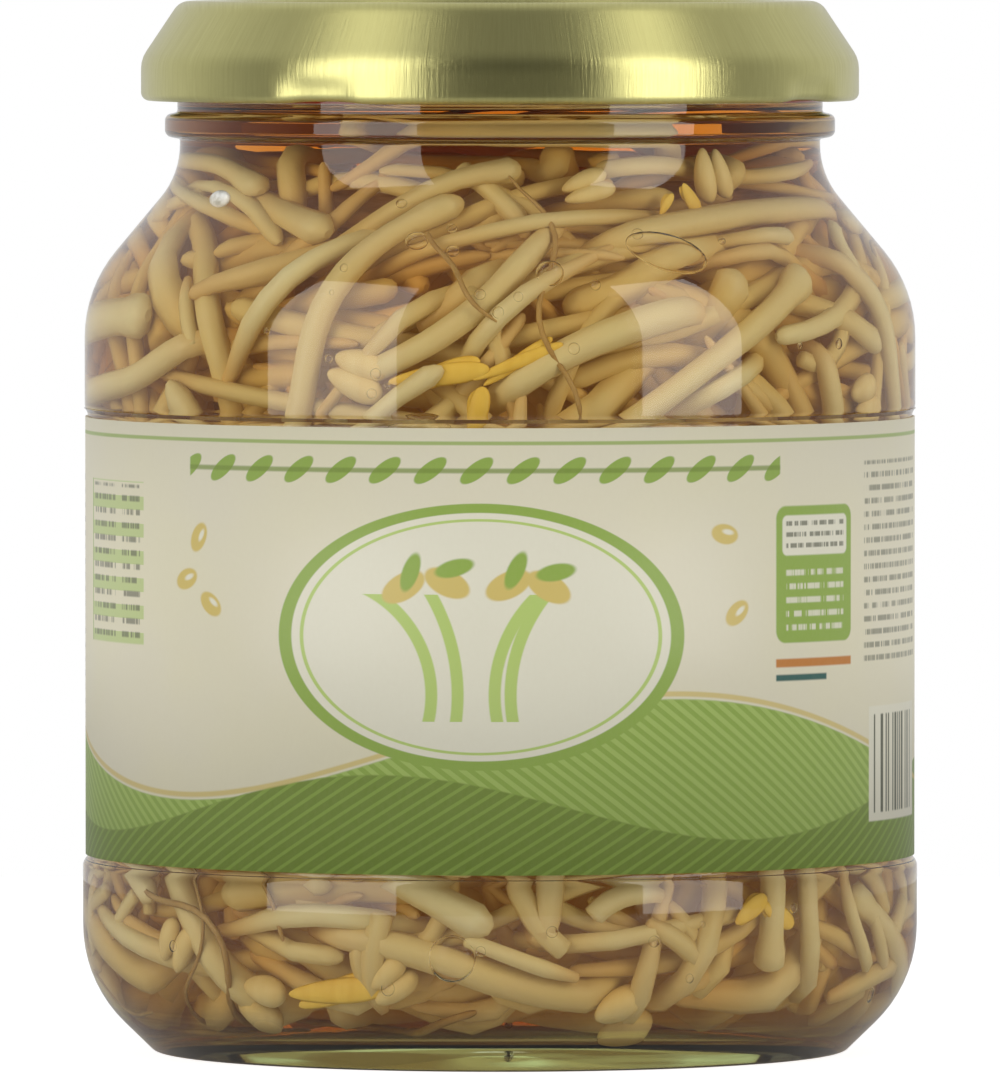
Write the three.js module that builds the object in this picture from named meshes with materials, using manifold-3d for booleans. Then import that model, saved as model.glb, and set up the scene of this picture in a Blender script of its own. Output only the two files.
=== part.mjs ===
// A 37 cl twist-off jar of bean sprouts in brine: glass, paper label, lug lid with its seal, brine and sprouts.
// Millimetres, +Z up, origin at the middle of the foot. The front of the label faces -Y.

import * as THREE from "three";
import { mergeVertices } from "three/addons/utils/BufferGeometryUtils.js";
import Module from "manifold-3d";

const wasm = await Module();
wasm.setup();

// Driving dimensions of the glass
const BODY_R = 40.25;
const UPPER_BAND_R = 40.05;
const LABEL_PANEL_R = 39.75;
const LABEL_PANEL_Z = [18.5, 61.7];
const SHOULDER_Z = 73.5;
const SHOULDER_FILLET = 13;
const NECK_R = 30.85;
const NECK_Z = 84.5;
const NECK_FILLET = 8;
const RING_R = 32.3;
const RING_Z = 89.2;
const RING_HALF = 1;
const RING_FILLET = 0.7;
const FINISH_R = 31.1;
const BORE_R = 28.4;
const RIM_Z = 99.9;
const RIM_FILLET = 0.9;
const INSIDE_R = 37.5;
const INSIDE_SHOULDER_Z = 72.7;
const INSIDE_SHOULDER_FILLET = 10.45;
const INSIDE_NECK_Z = 83.65;
const FLOOR_Z = 5.4;
const FLOOR_FALL = 1.2;
const HEEL_FILLET = 13;
const HEEL_Z = 6.6;
const INSIDE_HEEL_FILLET = 9;
const HEEL_R = 33.4;
const FOOT_R = 31.6;
const PUSH_UP = 2.2;
const PUSH_UP_R = 27;
const PUSH_UP_FALL = 0.3;
const NECK_INSIDE_FILLET = 10.4;
const NECK_ARC_STEP = 14;
const INSIDE_ARC_STEP = 23;
const SMALL_ARC_STEP = 42;

// Thread of four leads, one for each lug of the lid
const LEADS = 4;
const PITCH = 10.8;
const THREAD_CREST_R = 32.5;
const THREAD_ROOT_R = 30.6;
const THREAD_Z = 94.7;
const THREAD_ARC = [-10, 60];
const THREAD_HALF = 1.0;
const CREST_SHARE = 0.4;
const RUN_OUT_RISE = 0.25;
const FIRST_LEAD = -30;

// Lid of tinplate
const PLATE = 0.3;
const LID_R = 34.6;
const LID_TOP_R = 30.85;
const LID_TOP_Z = 101.2;
const LID_CONE_Z = 95.6;
const PANEL_Z = 100.1;
const PANEL_R = 25.4;
const BUTTON_R = 9;
const BUTTON_DROP = 0.3;
const BUTTON_SLOPE = 0.8;
const CHANNEL_SLOPE = 1.2;
const CONE_FILLET = 1.5;
const CURL_R = 0.9;
const CURL_Z = 92.5;
const LUG_INNER_R = 31.6;
const LUG_HALF_ARC = 6.5;
const LUG_HALF = [0.6, 0.75];

// Seal, label, brine and sprouts
const SEAL_R = [27.6, 30.25];
const SEAL_Z = [100.02, 100.75];
const LABEL_R = 39.8;
const LABEL_PAPER = 0.2;
const LABEL_Z = [19, 61.2];
const BRINE_GAP = 0.15;
const BRINE_WALL = 0.6;
const BRINE_LEVEL = 91.5;
const HEAP_TOP_Z = 91;
const HEAP_NECK_GAP = 1;
const HEAP_NECK_FILLET = 8;
const HEAP_TOP_FILLET = 3;
const HEAP_ARC_STEP = 9;
const CORE_DEPTH = 8.5;
const CORE_SIDES = 16;
const SPROUT_COUNT = 126;
const SPROUT_R = [1.6, 2.05];
const SPROUT_LENGTH = [30, 54];
const SPROUT_SIDES = 4;
const SPROUT_STEPS = 5;
const SUNK = 1;
const LEVELS = [2.9, 3.7, 4.5, 5.3, 6.1, 6.9];
const BEADS_A_STEP = 3;
const TRIES = 16000;
const SEED = 12;
const EVEN_SPREAD = [0.7548776662, 0.569840291];

const ROUND = 36;
const STEP_DEG = 360 / ROUND;
const rad = THREE.MathUtils.degToRad;

// Materials
const finish = (color, roughness, metalness = 0, more = {}) =>
  new THREE.MeshStandardMaterial({ color, roughness, metalness, ...more });
const CLEAR_GLASS = finish(0xdfe8dc, 0.05, 0, { transparent: true, opacity: 0.35 });
const GOLD_LACQUER = finish(0xc9bd74, 0.32, 1);
const SEAL_WHITE = finish(0xe6e2d2, 0.7);
const CREAM_PAPER = finish(0xe4dfcb, 0.55);
const AMBER_BRINE = finish(0xc9a45a, 0.1, 0, { transparent: true, opacity: 0.5 });
const PALE_SPROUT = finish(0xd9c79a, 0.5);

// An outline through corners [r, z, fillet], with each fillet drawn as an arc in steps of so many degrees.
function outline(corners, arcStep = 18) {
  const points = [];
  corners.forEach(([r, z, fillet = 0, ownStep = arcStep], i) => {
    const corner = new THREE.Vector2(r, z);
    if (!fillet) {
      points.push(corner);
      return;
    }
    const before = new THREE.Vector2(...corners[i - 1].slice(0, 2)).sub(corner).normalize();
    const after = new THREE.Vector2(...corners[i + 1].slice(0, 2)).sub(corner).normalize();
    const half = Math.acos(before.dot(after)) / 2;
    const side = Math.sign(after.cross(before));
    const middle = before.clone().add(after).normalize().multiplyScalar(fillet / Math.sin(half)).add(corner);
    const first = before.multiplyScalar(fillet / Math.tan(half)).add(corner).sub(middle);
    const turn = Math.PI - 2 * half;
    const count = Math.max(1, Math.round(THREE.MathUtils.radToDeg(turn) / ownStep));
    for (let k = 0; k <= count; k++) {
      points.push(first.clone().rotateAround(new THREE.Vector2(), (side * turn * k) / count).add(middle));
    }
  });
  return points;
}

// The same outline moved sideways by a distance, to its left as it runs.
function inset(points, distance) {
  return points.map((point, i) => {
    const before = points[Math.max(i - 1, 0)];
    const after = points[Math.min(i + 1, points.length - 1)];
    const along = after.clone().sub(before).normalize();
    const moved = new THREE.Vector2(point.x - along.y * distance, point.y + along.x * distance);
    if (point.x === 0) moved.x = 0;
    return moved;
  });
}

// A turned piece: the outline runs up the outside, and starts and ends on the axis or closes on itself.
function turned(points, sides = ROUND) {
  return new THREE.LatheGeometry(points, sides).rotateX(Math.PI / 2);
}

function solid(geometry) {
  const bare = geometry.clone();
  bare.deleteAttribute("normal");
  bare.deleteAttribute("uv");
  const merged = mergeVertices(bare, 1e-4);
  return new wasm.Manifold(
    new wasm.Mesh({
      numProp: 3,
      vertProperties: merged.getAttribute("position").array,
      triVerts: new Uint32Array(merged.index.array),
    }),
  );
}

function geometryOf(joined) {
  const mesh = joined.getMesh();
  const geometry = new THREE.BufferGeometry();
  geometry.setAttribute("position", new THREE.BufferAttribute(mesh.vertProperties, 3));
  geometry.setIndex(new THREE.BufferAttribute(mesh.triVerts, 1));
  geometry.computeVertexNormals();
  return geometry;
}

// The pieces joined as one body, with any hollow that joining them seals filled.
function fused(geometries) {
  const [first, ...rest] = geometries.map(solid);
  const shells = rest.reduce((whole, piece) => whole.add(piece), first).decompose();
  const outer = shells.reduce((best, shell) => (shell.volume() > best.volume() ? shell : best));
  return geometryOf(outer);
}

// A box bent round the axis: place(across, along, up) gives radius, angle in degrees and height.
function bentBox(steps, place) {
  const box = new THREE.BoxGeometry(1, 1, 1, 1, steps, 1);
  const position = box.getAttribute("position");
  for (let i = 0; i < position.count; i++) {
    const [r, degrees, z] = place(position.getX(i) + 0.5, position.getY(i) + 0.5, position.getZ(i) + 0.5);
    position.setXYZ(i, r * Math.cos(rad(degrees)), r * Math.sin(rad(degrees)), z);
  }
  return box;
}

// The inside of the glass: floor, heel, wall and shoulder, up to the neck.
function insideCorners() {
  return [
    [0, FLOOR_Z],
    [INSIDE_R, FLOOR_Z - FLOOR_FALL, INSIDE_HEEL_FILLET],
    [INSIDE_R, INSIDE_SHOULDER_Z, INSIDE_SHOULDER_FILLET],
    [BORE_R, INSIDE_NECK_Z, NECK_INSIDE_FILLET, NECK_ARC_STEP],
  ];
}

function insideOfGlass(top) {
  return outline([...insideCorners(), [BORE_R, top]], INSIDE_ARC_STEP);
}

function outsideOfGlass() {
  const step = (BODY_R - LABEL_PANEL_R) / 2;
  return outline([
    [0, PUSH_UP],
    [PUSH_UP_R, PUSH_UP - PUSH_UP_FALL],
    [FOOT_R, 0],
    [HEEL_R, 0],
    [BODY_R, HEEL_Z, HEEL_FILLET],
    [BODY_R, LABEL_PANEL_Z[0] - step],
    [LABEL_PANEL_R, LABEL_PANEL_Z[0] + step],
    [LABEL_PANEL_R, LABEL_PANEL_Z[1]],
    [UPPER_BAND_R, LABEL_PANEL_Z[1] + step],
    [UPPER_BAND_R, SHOULDER_Z, SHOULDER_FILLET],
    [NECK_R, NECK_Z, NECK_FILLET],
    [NECK_R, RING_Z - RING_HALF - 0.1],
    [RING_R, RING_Z - RING_HALF, RING_FILLET, SMALL_ARC_STEP],
    [RING_R, RING_Z + RING_HALF, RING_FILLET, SMALL_ARC_STEP],
    [FINISH_R, RING_Z + RING_HALF + 0.1],
    [FINISH_R, RIM_Z, RIM_FILLET, SMALL_ARC_STEP],
    [(FINISH_R + BORE_R) / 2, RIM_Z],
  ]);
}

function thread(lead) {
  const [start, end] = THREAD_ARC;
  const steps = Math.round((end - start) / STEP_DEG);
  return bentBox(steps, (across, along, up) => {
    const degrees = start + along * (end - start);
    const runOut = Math.min(1, along * steps, (1 - along) * steps);
    const rise = RUN_OUT_RISE + (1 - RUN_OUT_RISE) * runOut;
    const crest = FINISH_R + (THREAD_CREST_R - FINISH_R) * rise;
    const half = across ? THREAD_HALF * CREST_SHARE : THREAD_HALF;
    const z = THREAD_Z + (PITCH * degrees) / 360 + (2 * up - 1) * half;
    return [across ? crest : THREAD_ROOT_R, FIRST_LEAD + degrees + (lead * 360) / LEADS, z];
  });
}

function jarGlass() {
  const shell = [...outsideOfGlass(), ...insideOfGlass(RIM_Z).reverse()];
  const threads = Array.from({ length: LEADS }, (_, lead) => thread(lead));
  return fused([turned(shell), ...threads]);
}

// The lid: a button in a sunk panel, a channel over the rim, a cone, a skirt and a curled edge with four lugs.
function lid() {
  const skirtIn = LID_R - PLATE;
  const plate = outline(
    [
      [0, PANEL_Z - BUTTON_DROP - PLATE],
      [BUTTON_R, PANEL_Z - BUTTON_DROP - PLATE],
      [BUTTON_R + BUTTON_SLOPE, PANEL_Z - PLATE],
      [PANEL_R, PANEL_Z - PLATE],
      [PANEL_R + CHANNEL_SLOPE, LID_TOP_Z - PLATE],
      [LID_TOP_R - 0.5, LID_TOP_Z - PLATE],
      [skirtIn, LID_CONE_Z, CONE_FILLET],
      [skirtIn, CURL_Z + CURL_R - 0.1],
      [LID_R - 2 * CURL_R, CURL_Z + CURL_R - 0.1, 0.5],
      [LID_R - 2 * CURL_R, CURL_Z - CURL_R, 0.8],
      [LID_R, CURL_Z - CURL_R, 0.8],
      [LID_R, LID_CONE_Z, CONE_FILLET],
      [LID_TOP_R, LID_TOP_Z, 0.5],
      [PANEL_R + CHANNEL_SLOPE, LID_TOP_Z],
      [PANEL_R + 0.2, PANEL_Z],
      [BUTTON_R + BUTTON_SLOPE, PANEL_Z],
      [BUTTON_R, PANEL_Z - BUTTON_DROP],
      [0, PANEL_Z - BUTTON_DROP],
    ],
    40,
  );
  const lugs = Array.from({ length: LEADS }, (_, lead) =>
    bentBox(2, (across, along, up) => {
      const degrees = FIRST_LEAD + (lead * 360) / LEADS + (2 * along - 1) * LUG_HALF_ARC;
      const r = across ? LID_R - CURL_R : LUG_INNER_R;
      return [r, degrees, CURL_Z + (2 * up - 1) * LUG_HALF[across]];
    }),
  );
  return fused([turned(plate), ...lugs]);
}

function seal() {
  const [inner, outer] = SEAL_R;
  const [low, high] = SEAL_Z;
  return turned(outline([[inner, low], [outer, low], [outer, high], [inner, high], [inner, low]]));
}

// The label: one strip wound round the jar, whose end laps over its start behind the jar.
function label() {
  const turns = ROUND + 1;
  const lapRise = LABEL_PAPER + 0.06;
  const at = (k, r) => {
    const angle = rad(90 + k * STEP_DEG);
    const rise = k >= ROUND ? lapRise : 0;
    return new THREE.Vector2((r + rise) * Math.cos(angle), (r + rise) * Math.sin(angle));
  };
  const inner = Array.from({ length: turns + 1 }, (_, k) => at(k, LABEL_R));
  const outer = Array.from({ length: turns + 1 }, (_, k) => at(k, LABEL_R + LABEL_PAPER));
  const shape = new THREE.Shape([...outer, ...inner.reverse()]);
  const [low, high] = LABEL_Z;
  return new THREE.ExtrudeGeometry(shape, { depth: high - low, bevelEnabled: false }).translate(0, 0, low);
}

// The brine round the sprouts, which stand in a plain hole in it, open at the top.
function brine() {
  const inside = insideOfGlass(BRINE_LEVEL);
  return turned([...inset(inside, BRINE_GAP), ...inset(inside, BRINE_GAP + BRINE_WALL).reverse()]);
}

// A repeatable run of numbers between 0 and 1.
function seeded(seed) {
  let state = seed;
  return () => {
    state = (state * 1664525 + 1013904223) % 4294967296;
    return state / 4294967296;
  };
}

// The corners that the heap of sprouts fills, narrower in the neck and closed over its top.
function heapCorners() {
  const r = BORE_R - HEAP_NECK_GAP;
  const body = insideCorners().slice(0, 3);
  const neckZ = INSIDE_NECK_Z + 1.2 * HEAP_NECK_GAP;
  return [...body, [r, neckZ, HEAP_NECK_FILLET], [r, HEAP_TOP_Z, HEAP_TOP_FILLET], [0, HEAP_TOP_Z]];
}

// Plain corners moved to the left of the way they run, which keeps each side parallel to itself.
function shrunk(corners, distance) {
  const at = corners.map(([r, z]) => new THREE.Vector2(r, z));
  const leftOf = (from, to) => new THREE.Vector2(from.y - to.y, to.x - from.x).normalize();
  return at.map((corner, i) => {
    const after = i + 1 < at.length ? leftOf(corner, at[i + 1]) : leftOf(at[i - 1], corner);
    const before = i > 0 ? leftOf(at[i - 1], corner) : after;
    const move = before.clone().add(after).multiplyScalar(distance / (1 + before.dot(after)));
    return [corner.x === 0 ? 0 : corner.x + move.x, corner.y + move.y];
  });
}

// The heap's skin: each corner of its outline has its direction into the heap and the area up to it.
function heapSkin() {
  const points = outline(heapCorners(), HEAP_ARC_STEP);
  const inside = inset(points, 1);
  let area = 0;
  return points.map((point, i) => {
    const last = points[Math.max(i - 1, 0)];
    area += point.distanceTo(last) * (point.x + last.x);
    return { point, inward: inside[i].clone().sub(point), area };
  });
}

// A place on the skin, part way from one corner of the outline to the next, at an angle round the axis.
function placeOnSkin(skin, i, part, angle) {
  const point = skin[i].point.clone().lerp(skin[i + 1].point, part);
  const inward = skin[i].inward.clone().lerp(skin[i + 1].inward, part).normalize();
  const round = new THREE.Vector3(Math.cos(angle), Math.sin(angle), 0);
  const up = new THREE.Vector3(0, 0, 1);
  return {
    place: round.clone().multiplyScalar(point.x).addScaledVector(up, point.y),
    inward: round.clone().multiplyScalar(inward.x).addScaledVector(up, inward.y),
  };
}

function byArea(skin, share, angle) {
  const wanted = share * skin[skin.length - 1].area;
  const from = Math.max(skin.findIndex((corner) => corner.area >= wanted) - 1, 0);
  const part = (wanted - skin[from].area) / (skin[from + 1].area - skin[from].area);
  return placeOnSkin(skin, from, part, angle);
}

function nearestOnSkin(skin, at) {
  const flat = new THREE.Vector2(Math.hypot(at.x, at.y), at.z);
  let best = { gap: Infinity };
  for (let i = 0; i + 1 < skin.length; i++) {
    const side = skin[i + 1].point.clone().sub(skin[i].point);
    const along = flat.clone().sub(skin[i].point).dot(side) / side.lengthSq();
    const part = THREE.MathUtils.clamp(along, 0, 1);
    const gap = flat.distanceTo(skin[i].point.clone().addScaledVector(side, part));
    if (gap < best.gap) best = { gap, i, part };
  }
  return placeOnSkin(skin, best.i, best.part, Math.atan2(at.y, at.x));
}

// A sprout's path over the skin: it starts at a place, keeps to the skin and bends as it goes.
function walk(skin, start, heading, bend, length, steps) {
  const round = new THREE.Vector3(-start.place.y, start.place.x, 0).normalize();
  const direction = round.applyAxisAngle(start.inward, heading);
  const path = [start];
  for (let k = 1; k <= steps; k++) {
    const last = path[k - 1];
    const next = nearestOnSkin(skin, last.place.clone().addScaledVector(direction, length / steps));
    direction.addScaledVector(next.inward, -direction.dot(next.inward)).normalize();
    direction.applyAxisAngle(next.inward, (bend(k / steps) * length) / steps);
    path.push(next);
  }
  return path;
}

// How thick a sprout is along its length: a head on some, an even stem, and a root that thins out.
function thickness(t, r, headed) {
  if (headed && t < 0.2) return r * (t === 0 ? 0.75 : 1.25);
  return r * (1 - 0.4 * THREE.MathUtils.smoothstep(t, 0.7, 1));
}

// How deep a sprout lies: even along its stem, and dipping into the core at its root and any end with no head.
function depthAt(t, level, headed) {
  const dip = headed && t < 0.5 ? 0 : THREE.MathUtils.smoothstep(Math.abs(2 * t - 1), 0.7, 1);
  return level + (CORE_DEPTH + SUNK - level) * dip;
}

// Points along a sprout's path for one level, close enough together that nothing slips between them.
function beadsOf(sprout, level) {
  const row = (k) => {
    const t = k / SPROUT_STEPS;
    const depth = depthAt(t, level, sprout.headed);
    const { place, inward } = sprout.path[k];
    return { at: place.clone().addScaledVector(inward, depth), r: thickness(t, sprout.r, sprout.headed), depth };
  };
  const beads = [row(0)];
  for (let k = 1; k <= SPROUT_STEPS; k++) {
    const last = beads[beads.length - 1];
    const next = row(k);
    for (let part = 1; part <= BEADS_A_STEP; part++) {
      const share = part / BEADS_A_STEP;
      beads.push({
        at: last.at.clone().lerp(next.at, share),
        r: THREE.MathUtils.lerp(last.r, next.r, share),
        depth: THREE.MathUtils.lerp(last.depth, next.depth, share),
      });
    }
  }
  return beads;
}

// Two sprouts stay apart wherever they show above the core.
function isClear(beads, laid) {
  const showing = beads.filter((bead) => bead.depth < CORE_DEPTH);
  return showing.every((bead) => laid.every((other) => other.at.distanceTo(bead.at) > other.r + bead.r));
}

// A cylinder bent along a path, with its own thickness at each step.
function stalk(points, radii) {
  const steps = points.length - 1;
  const curve = new THREE.CatmullRomCurve3(points);
  const frames = curve.computeFrenetFrames(steps);
  const tube = new THREE.CylinderGeometry(1, 1, 1, SPROUT_SIDES, steps);
  const position = tube.getAttribute("position");
  for (let i = 0; i < position.count; i++) {
    const k = Math.round((0.5 - position.getY(i)) * steps);
    const across = frames.normals[k].clone().multiplyScalar(position.getX(i) * radii[k]);
    const at = points[k].clone().add(across).addScaledVector(frames.binormals[k], position.getZ(i) * radii[k]);
    position.setXYZ(i, at.x, at.y, at.z);
  }
  return tube;
}

// The bunch: sprouts spread evenly over the skin, each as near the glass as those laid before it
// allow, with their ends sunk in a smaller core that they stand out of.
function sprouts() {
  const random = seeded(SEED);
  const between = (low, high) => low + (high - low) * random();
  const skin = heapSkin();
  const laid = [];
  const stalks = [];
  for (let i = 0; i < TRIES && stalks.length < SPROUT_COUNT; i++) {
    const [share, turn] = EVEN_SPREAD.map((step) => (0.5 + i * step) % 1);
    const start = byArea(skin, share, 2 * Math.PI * turn);
    const heading = between(-0.6, 0.6) + (random() < 0.15 ? 1.2 : 0) + (random() < 0.5 ? Math.PI : 0);
    const sway = between(-0.035, 0.035);
    const phase = between(0, 2 * Math.PI);
    const lean = between(-0.015, 0.015);
    const bend = (t) => lean + sway * Math.sin(5 * t + phase);
    const r = between(...SPROUT_R);
    const path = walk(skin, start, heading, bend, between(...SPROUT_LENGTH), SPROUT_STEPS);
    const sprout = { path, r, headed: random() < 0.35 };
    const level = LEVELS.find((depth) => isClear(beadsOf(sprout, depth), laid));
    if (level === undefined) continue;
    const beads = beadsOf(sprout, level);
    laid.push(...beads.filter((bead) => bead.depth < CORE_DEPTH));
    const rows = beads.filter((_, k) => k % BEADS_A_STEP === 0);
    stalks.push(stalk(rows.map(({ at }) => at), rows.map((bead) => bead.r)));
  }
  const core = turned(outline(shrunk(heapCorners(), CORE_DEPTH)), CORE_SIDES);
  return fused([core, ...stalks]);
}

const group = new THREE.Group();
function add(name, geometry, material) {
  const mesh = new THREE.Mesh(geometry, material);
  mesh.name = name;
  group.add(mesh);
}

add("jar_glass", jarGlass(), CLEAR_GLASS);
add("lid", lid(), GOLD_LACQUER);
add("lid_seal", seal(), SEAL_WHITE);
add("label", label(), CREAM_PAPER);
add("brine", brine(), AMBER_BRINE);
add("sprouts", sprouts(), PALE_SPROUT);

export default group;
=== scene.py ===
"""Jar of bean sprouts: glass, brine, sprouts, paper label and gold lid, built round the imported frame."""
import math

import bmesh
import bpy
import numpy as np
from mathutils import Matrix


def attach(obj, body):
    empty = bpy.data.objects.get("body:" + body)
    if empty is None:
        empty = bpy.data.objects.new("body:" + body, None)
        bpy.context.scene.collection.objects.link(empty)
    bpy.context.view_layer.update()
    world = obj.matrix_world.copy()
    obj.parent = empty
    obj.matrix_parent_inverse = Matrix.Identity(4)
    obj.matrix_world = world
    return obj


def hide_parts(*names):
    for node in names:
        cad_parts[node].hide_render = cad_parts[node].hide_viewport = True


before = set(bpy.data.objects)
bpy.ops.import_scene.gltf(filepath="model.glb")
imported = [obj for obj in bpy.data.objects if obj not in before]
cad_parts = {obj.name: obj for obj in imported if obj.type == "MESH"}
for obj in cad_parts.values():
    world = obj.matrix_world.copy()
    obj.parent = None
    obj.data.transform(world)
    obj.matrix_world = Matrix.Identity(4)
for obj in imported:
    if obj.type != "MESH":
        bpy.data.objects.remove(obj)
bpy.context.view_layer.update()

MM = 0.001
TAU = 2 * math.pi

# Glass. Sizes are in millimetres down to the stage, and arcs in degrees.
BODY_R, UPPER_BAND_R, LABEL_PANEL_R = 40.25, 40.05, 39.75
LABEL_PANEL_Z = (18.5, 61.7)
SHOULDER_Z, NECK_R, NECK_Z = 73.5, 30.85, 84.5
RING_R, RING_Z = 32.3, 89.2
FINISH_R, BORE_R, RIM_Z = 31.1, 28.4, 99.9
INSIDE_R, INSIDE_SHOULDER_Z, INSIDE_NECK_Z = 37.5, 72.7, 83.65
FLOOR_Z, FLOOR_FALL = 5.4, 1.2
PITCH, THREAD_Z, THREAD_CREST_R = 10.8, 94.7, 32.5
FIRST_LEAD, LEADS, THREAD_ARC = -30, 4, 50
HEEL_MARK, HEEL_MARK_STEP, HEEL_MARKS_ARC = 0.22, 2.2, 32
WAVE, WAVES = 0.035, 6
GLASS_SIDES, LID_SIDES, BRINE_SIDES, SEAL_SIDES, CORE_SIDES = 288, 288, 160, 192, 96

# Lid and seal
PLATE, LID_R, LID_TOP_R, LID_TOP_Z, LID_CONE_Z = 0.3, 34.6, 30.85, 101.2, 95.6
PANEL_Z, PANEL_R, BUTTON_R = 100.1, 25.4, 9
CURL_R, CURL_Z, LUG_INNER_R, LUG_HALF_ARC = 0.9, 92.5, 31.6, 6.5
SEAL_R, SEAL_Z = (27.6, 30.25), (100.02, 100.75)

# Label and brine
LABEL_R, LABEL_PAPER, LABEL_Z = 39.8, 0.2, (19, 61.2)
LABEL_TURNS, LABEL_LAP = 360, 10
SHEET_LENGTH, EDGE = 251.0, 0.12
BRINE_LEVEL, BRINE_GAP, MENISCUS = 91.5, 0.12, 0.5

# Sprouts, laid by the rule of the part's source
HEAP_TOP_Z, CORE_DEPTH, SUNK = 91, 8.5, 1
SPROUT_COUNT, TRIES, SEED = 126, 16000, 12
SPROUT_STEPS, BEADS_A_STEP = 5, 3
SLIM, CRUSH = 0.76, 0.80
BRINE_SHOWS_Z, DEEPEST = 86.5, 9.6
FINE_STEPS, LINE_POINTS = 20, 121
MORE_SPROUTS, DEEP_SPROUTS, SCRAPS, ROOTS = 780, 200, 70, 46
MORE_SEED, DEEP_SEED, SCRAP_SEED, ROOT_SEED, BUBBLE_SEED, WAVE_SEED = 31, 77, 91, 8, 21, 4
MORE_FROM, DEEP_FROM, SCRAPS_FROM, ROOTS_FROM = 20000, 60000, 80000, 40000
MORE_GIRTHS, HEADED_SHARE, CORE_IN = (0.95, 1.1, 1.25, 1.4, 1.5, 1.65), 0.2, 9.3
LEVELS = (2.9, 3.7, 4.5, 5.3, 6.1, 6.9)
EVEN_SPREAD = (0.7548776662, 0.569840291)

# The photograph's scale, to place what it shows
MM_A_PIXEL, AXIS_PIXEL, FOOT_PIXEL = 0.0965, 500, 1050
WALL, BENDS_LIGHT = 2.6, 0.95

# What it shows: pixel across and down, length and width in millimetres, tilt in degrees.
# The first bubble is the one with a painted silvery reflection.
BUBBLES_SEEN = (
    (196, 208, 3.4, 2.3, 0), (685, 255, 8.6, 3.9, -18), (555, 272, 2.6, 2.4, 0), (408, 243, 2.2, 2.0, 0),
    (411, 415, 6.0, 2.6, 4), (447, 935, 4.4, 4.2, 0), (478, 290, 1.1, 1.0, 0), (520, 292, 0.9, 0.9, 0),
    (604, 282, 1.0, 1.0, 0), (330, 268, 0.8, 0.8, 0))
LEAVES_SEEN = (
    (432, 365, 9.5, 2.6, 8), (520, 352, 9.0, 1.6, 22), (475, 402, 5.2, 2.4, 78), (715, 205, 4.2, 2.0, -70),
    (322, 965, 10.0, 2.6, 4), (775, 893, 4.4, 2.4, 35), (803, 899, 4.6, 2.4, -30), (688, 210, 3.0, 1.2, 60))
SEEDS_SEEN = (
    (342, 365, 6.4, 4.6, -20), (600, 190, 5.6, 3.6, 25), (740, 180, 7.6, 3.6, -82), (890, 395, 5.4, 4.6, 10),
    (240, 975, 5.6, 4.0, -12), (635, 985, 5.8, 4.2, 20), (380, 955, 5.0, 3.6, 35), (150, 930, 5.0, 3.8, 60))
TINY_BUBBLES, TINY_BUBBLES_ACROSS, TINY_BUBBLES_DOWN = 26, (120, 880), ((190, 400), (890, 1000))

# The stage: its table in millimetres, its lamps and camera in metres
TABLE_R, TABLE_SIDES = 300, 128
SOFTBOX_TALL, SOFTBOX_DROP = 1.55, 0.35
CAMERA_AWAY, CAMERA_Z, AIM_Z = 1.7, 0.112, 0.0491
SENSOR, FRAME_TALL = 36, 0.1044

# Light. The first two are a painted amber glow in the stems and the heap's core, standing in for light that
# wet stems let through.
PAINTED_GLOW_COLOUR, PAINTED_GLOW = (0.38, 0.20, 0.06), 0.11
BACKDROP, FLOOR_GLOW, FLOOR_GLOW_SEEN = 1.25, 0.06, 0.72
GLASS_IOR, WETTED_IOR, BUBBLE_IOR, BRINE_WALL_IOR, BRINE_TOP_IOR = 1.52, 1.143, 0.82, 1.0, 1.333
CAST_NO_SHADOW = ("glass_jar", "air_bubbles")


# Outlines and turned forms

def outline(corners, arc_step=5.0):
    """An outline through corners (r, z, fillet), with its fillets drawn as arcs."""
    points = []
    for i, corner in enumerate(corners):
        at = np.array(corner[:2], float)
        fillet = corner[2] if len(corner) > 2 else 0
        if not fillet:
            points.append(at)
            continue
        before = np.array(corners[i - 1][:2], float) - at
        after = np.array(corners[i + 1][:2], float) - at
        before /= np.linalg.norm(before)
        after /= np.linalg.norm(after)
        half = math.acos(float(before @ after)) / 2
        side = np.sign(after[0] * before[1] - after[1] * before[0])
        mid = before + after
        middle = at + mid / np.linalg.norm(mid) * fillet / math.sin(half)
        first = at + before * fillet / math.tan(half) - middle
        turn = math.pi - 2 * half
        count = max(2, round(math.degrees(turn) / arc_step))
        for k in range(count + 1):
            a = side * turn * k / count
            points.append(middle + [first[0] * math.cos(a) - first[1] * math.sin(a),
                                    first[0] * math.sin(a) + first[1] * math.cos(a)])
    return np.array(points)


def spaced(points, longest, zones=()):
    """The outline with extra points, so that no side is longer than the longest. A zone (low, high, longest)
    has its own."""
    out = [points[0]]
    for a, b in zip(points[:-1], points[1:]):
        own = [step for low, high, step in zones if low < (a[1] + b[1]) / 2 < high]
        count = max(1, math.ceil(np.linalg.norm(b - a) / (own[0] if own else longest)))
        out += [a + (b - a) * k / count for k in range(1, count + 1)]
    return np.array(out)


def inset(points, distance):
    """The outline moved to its left as it runs."""
    before = points[np.maximum(np.arange(len(points)) - 1, 0)]
    after = points[np.minimum(np.arange(len(points)) + 1, len(points) - 1)]
    along = after - before
    along /= np.linalg.norm(along, axis=1)[:, None]
    moved = points + np.stack([-along[:, 1], along[:, 0]], 1) * distance
    moved[points[:, 0] == 0, 0] = 0
    return moved


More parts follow.
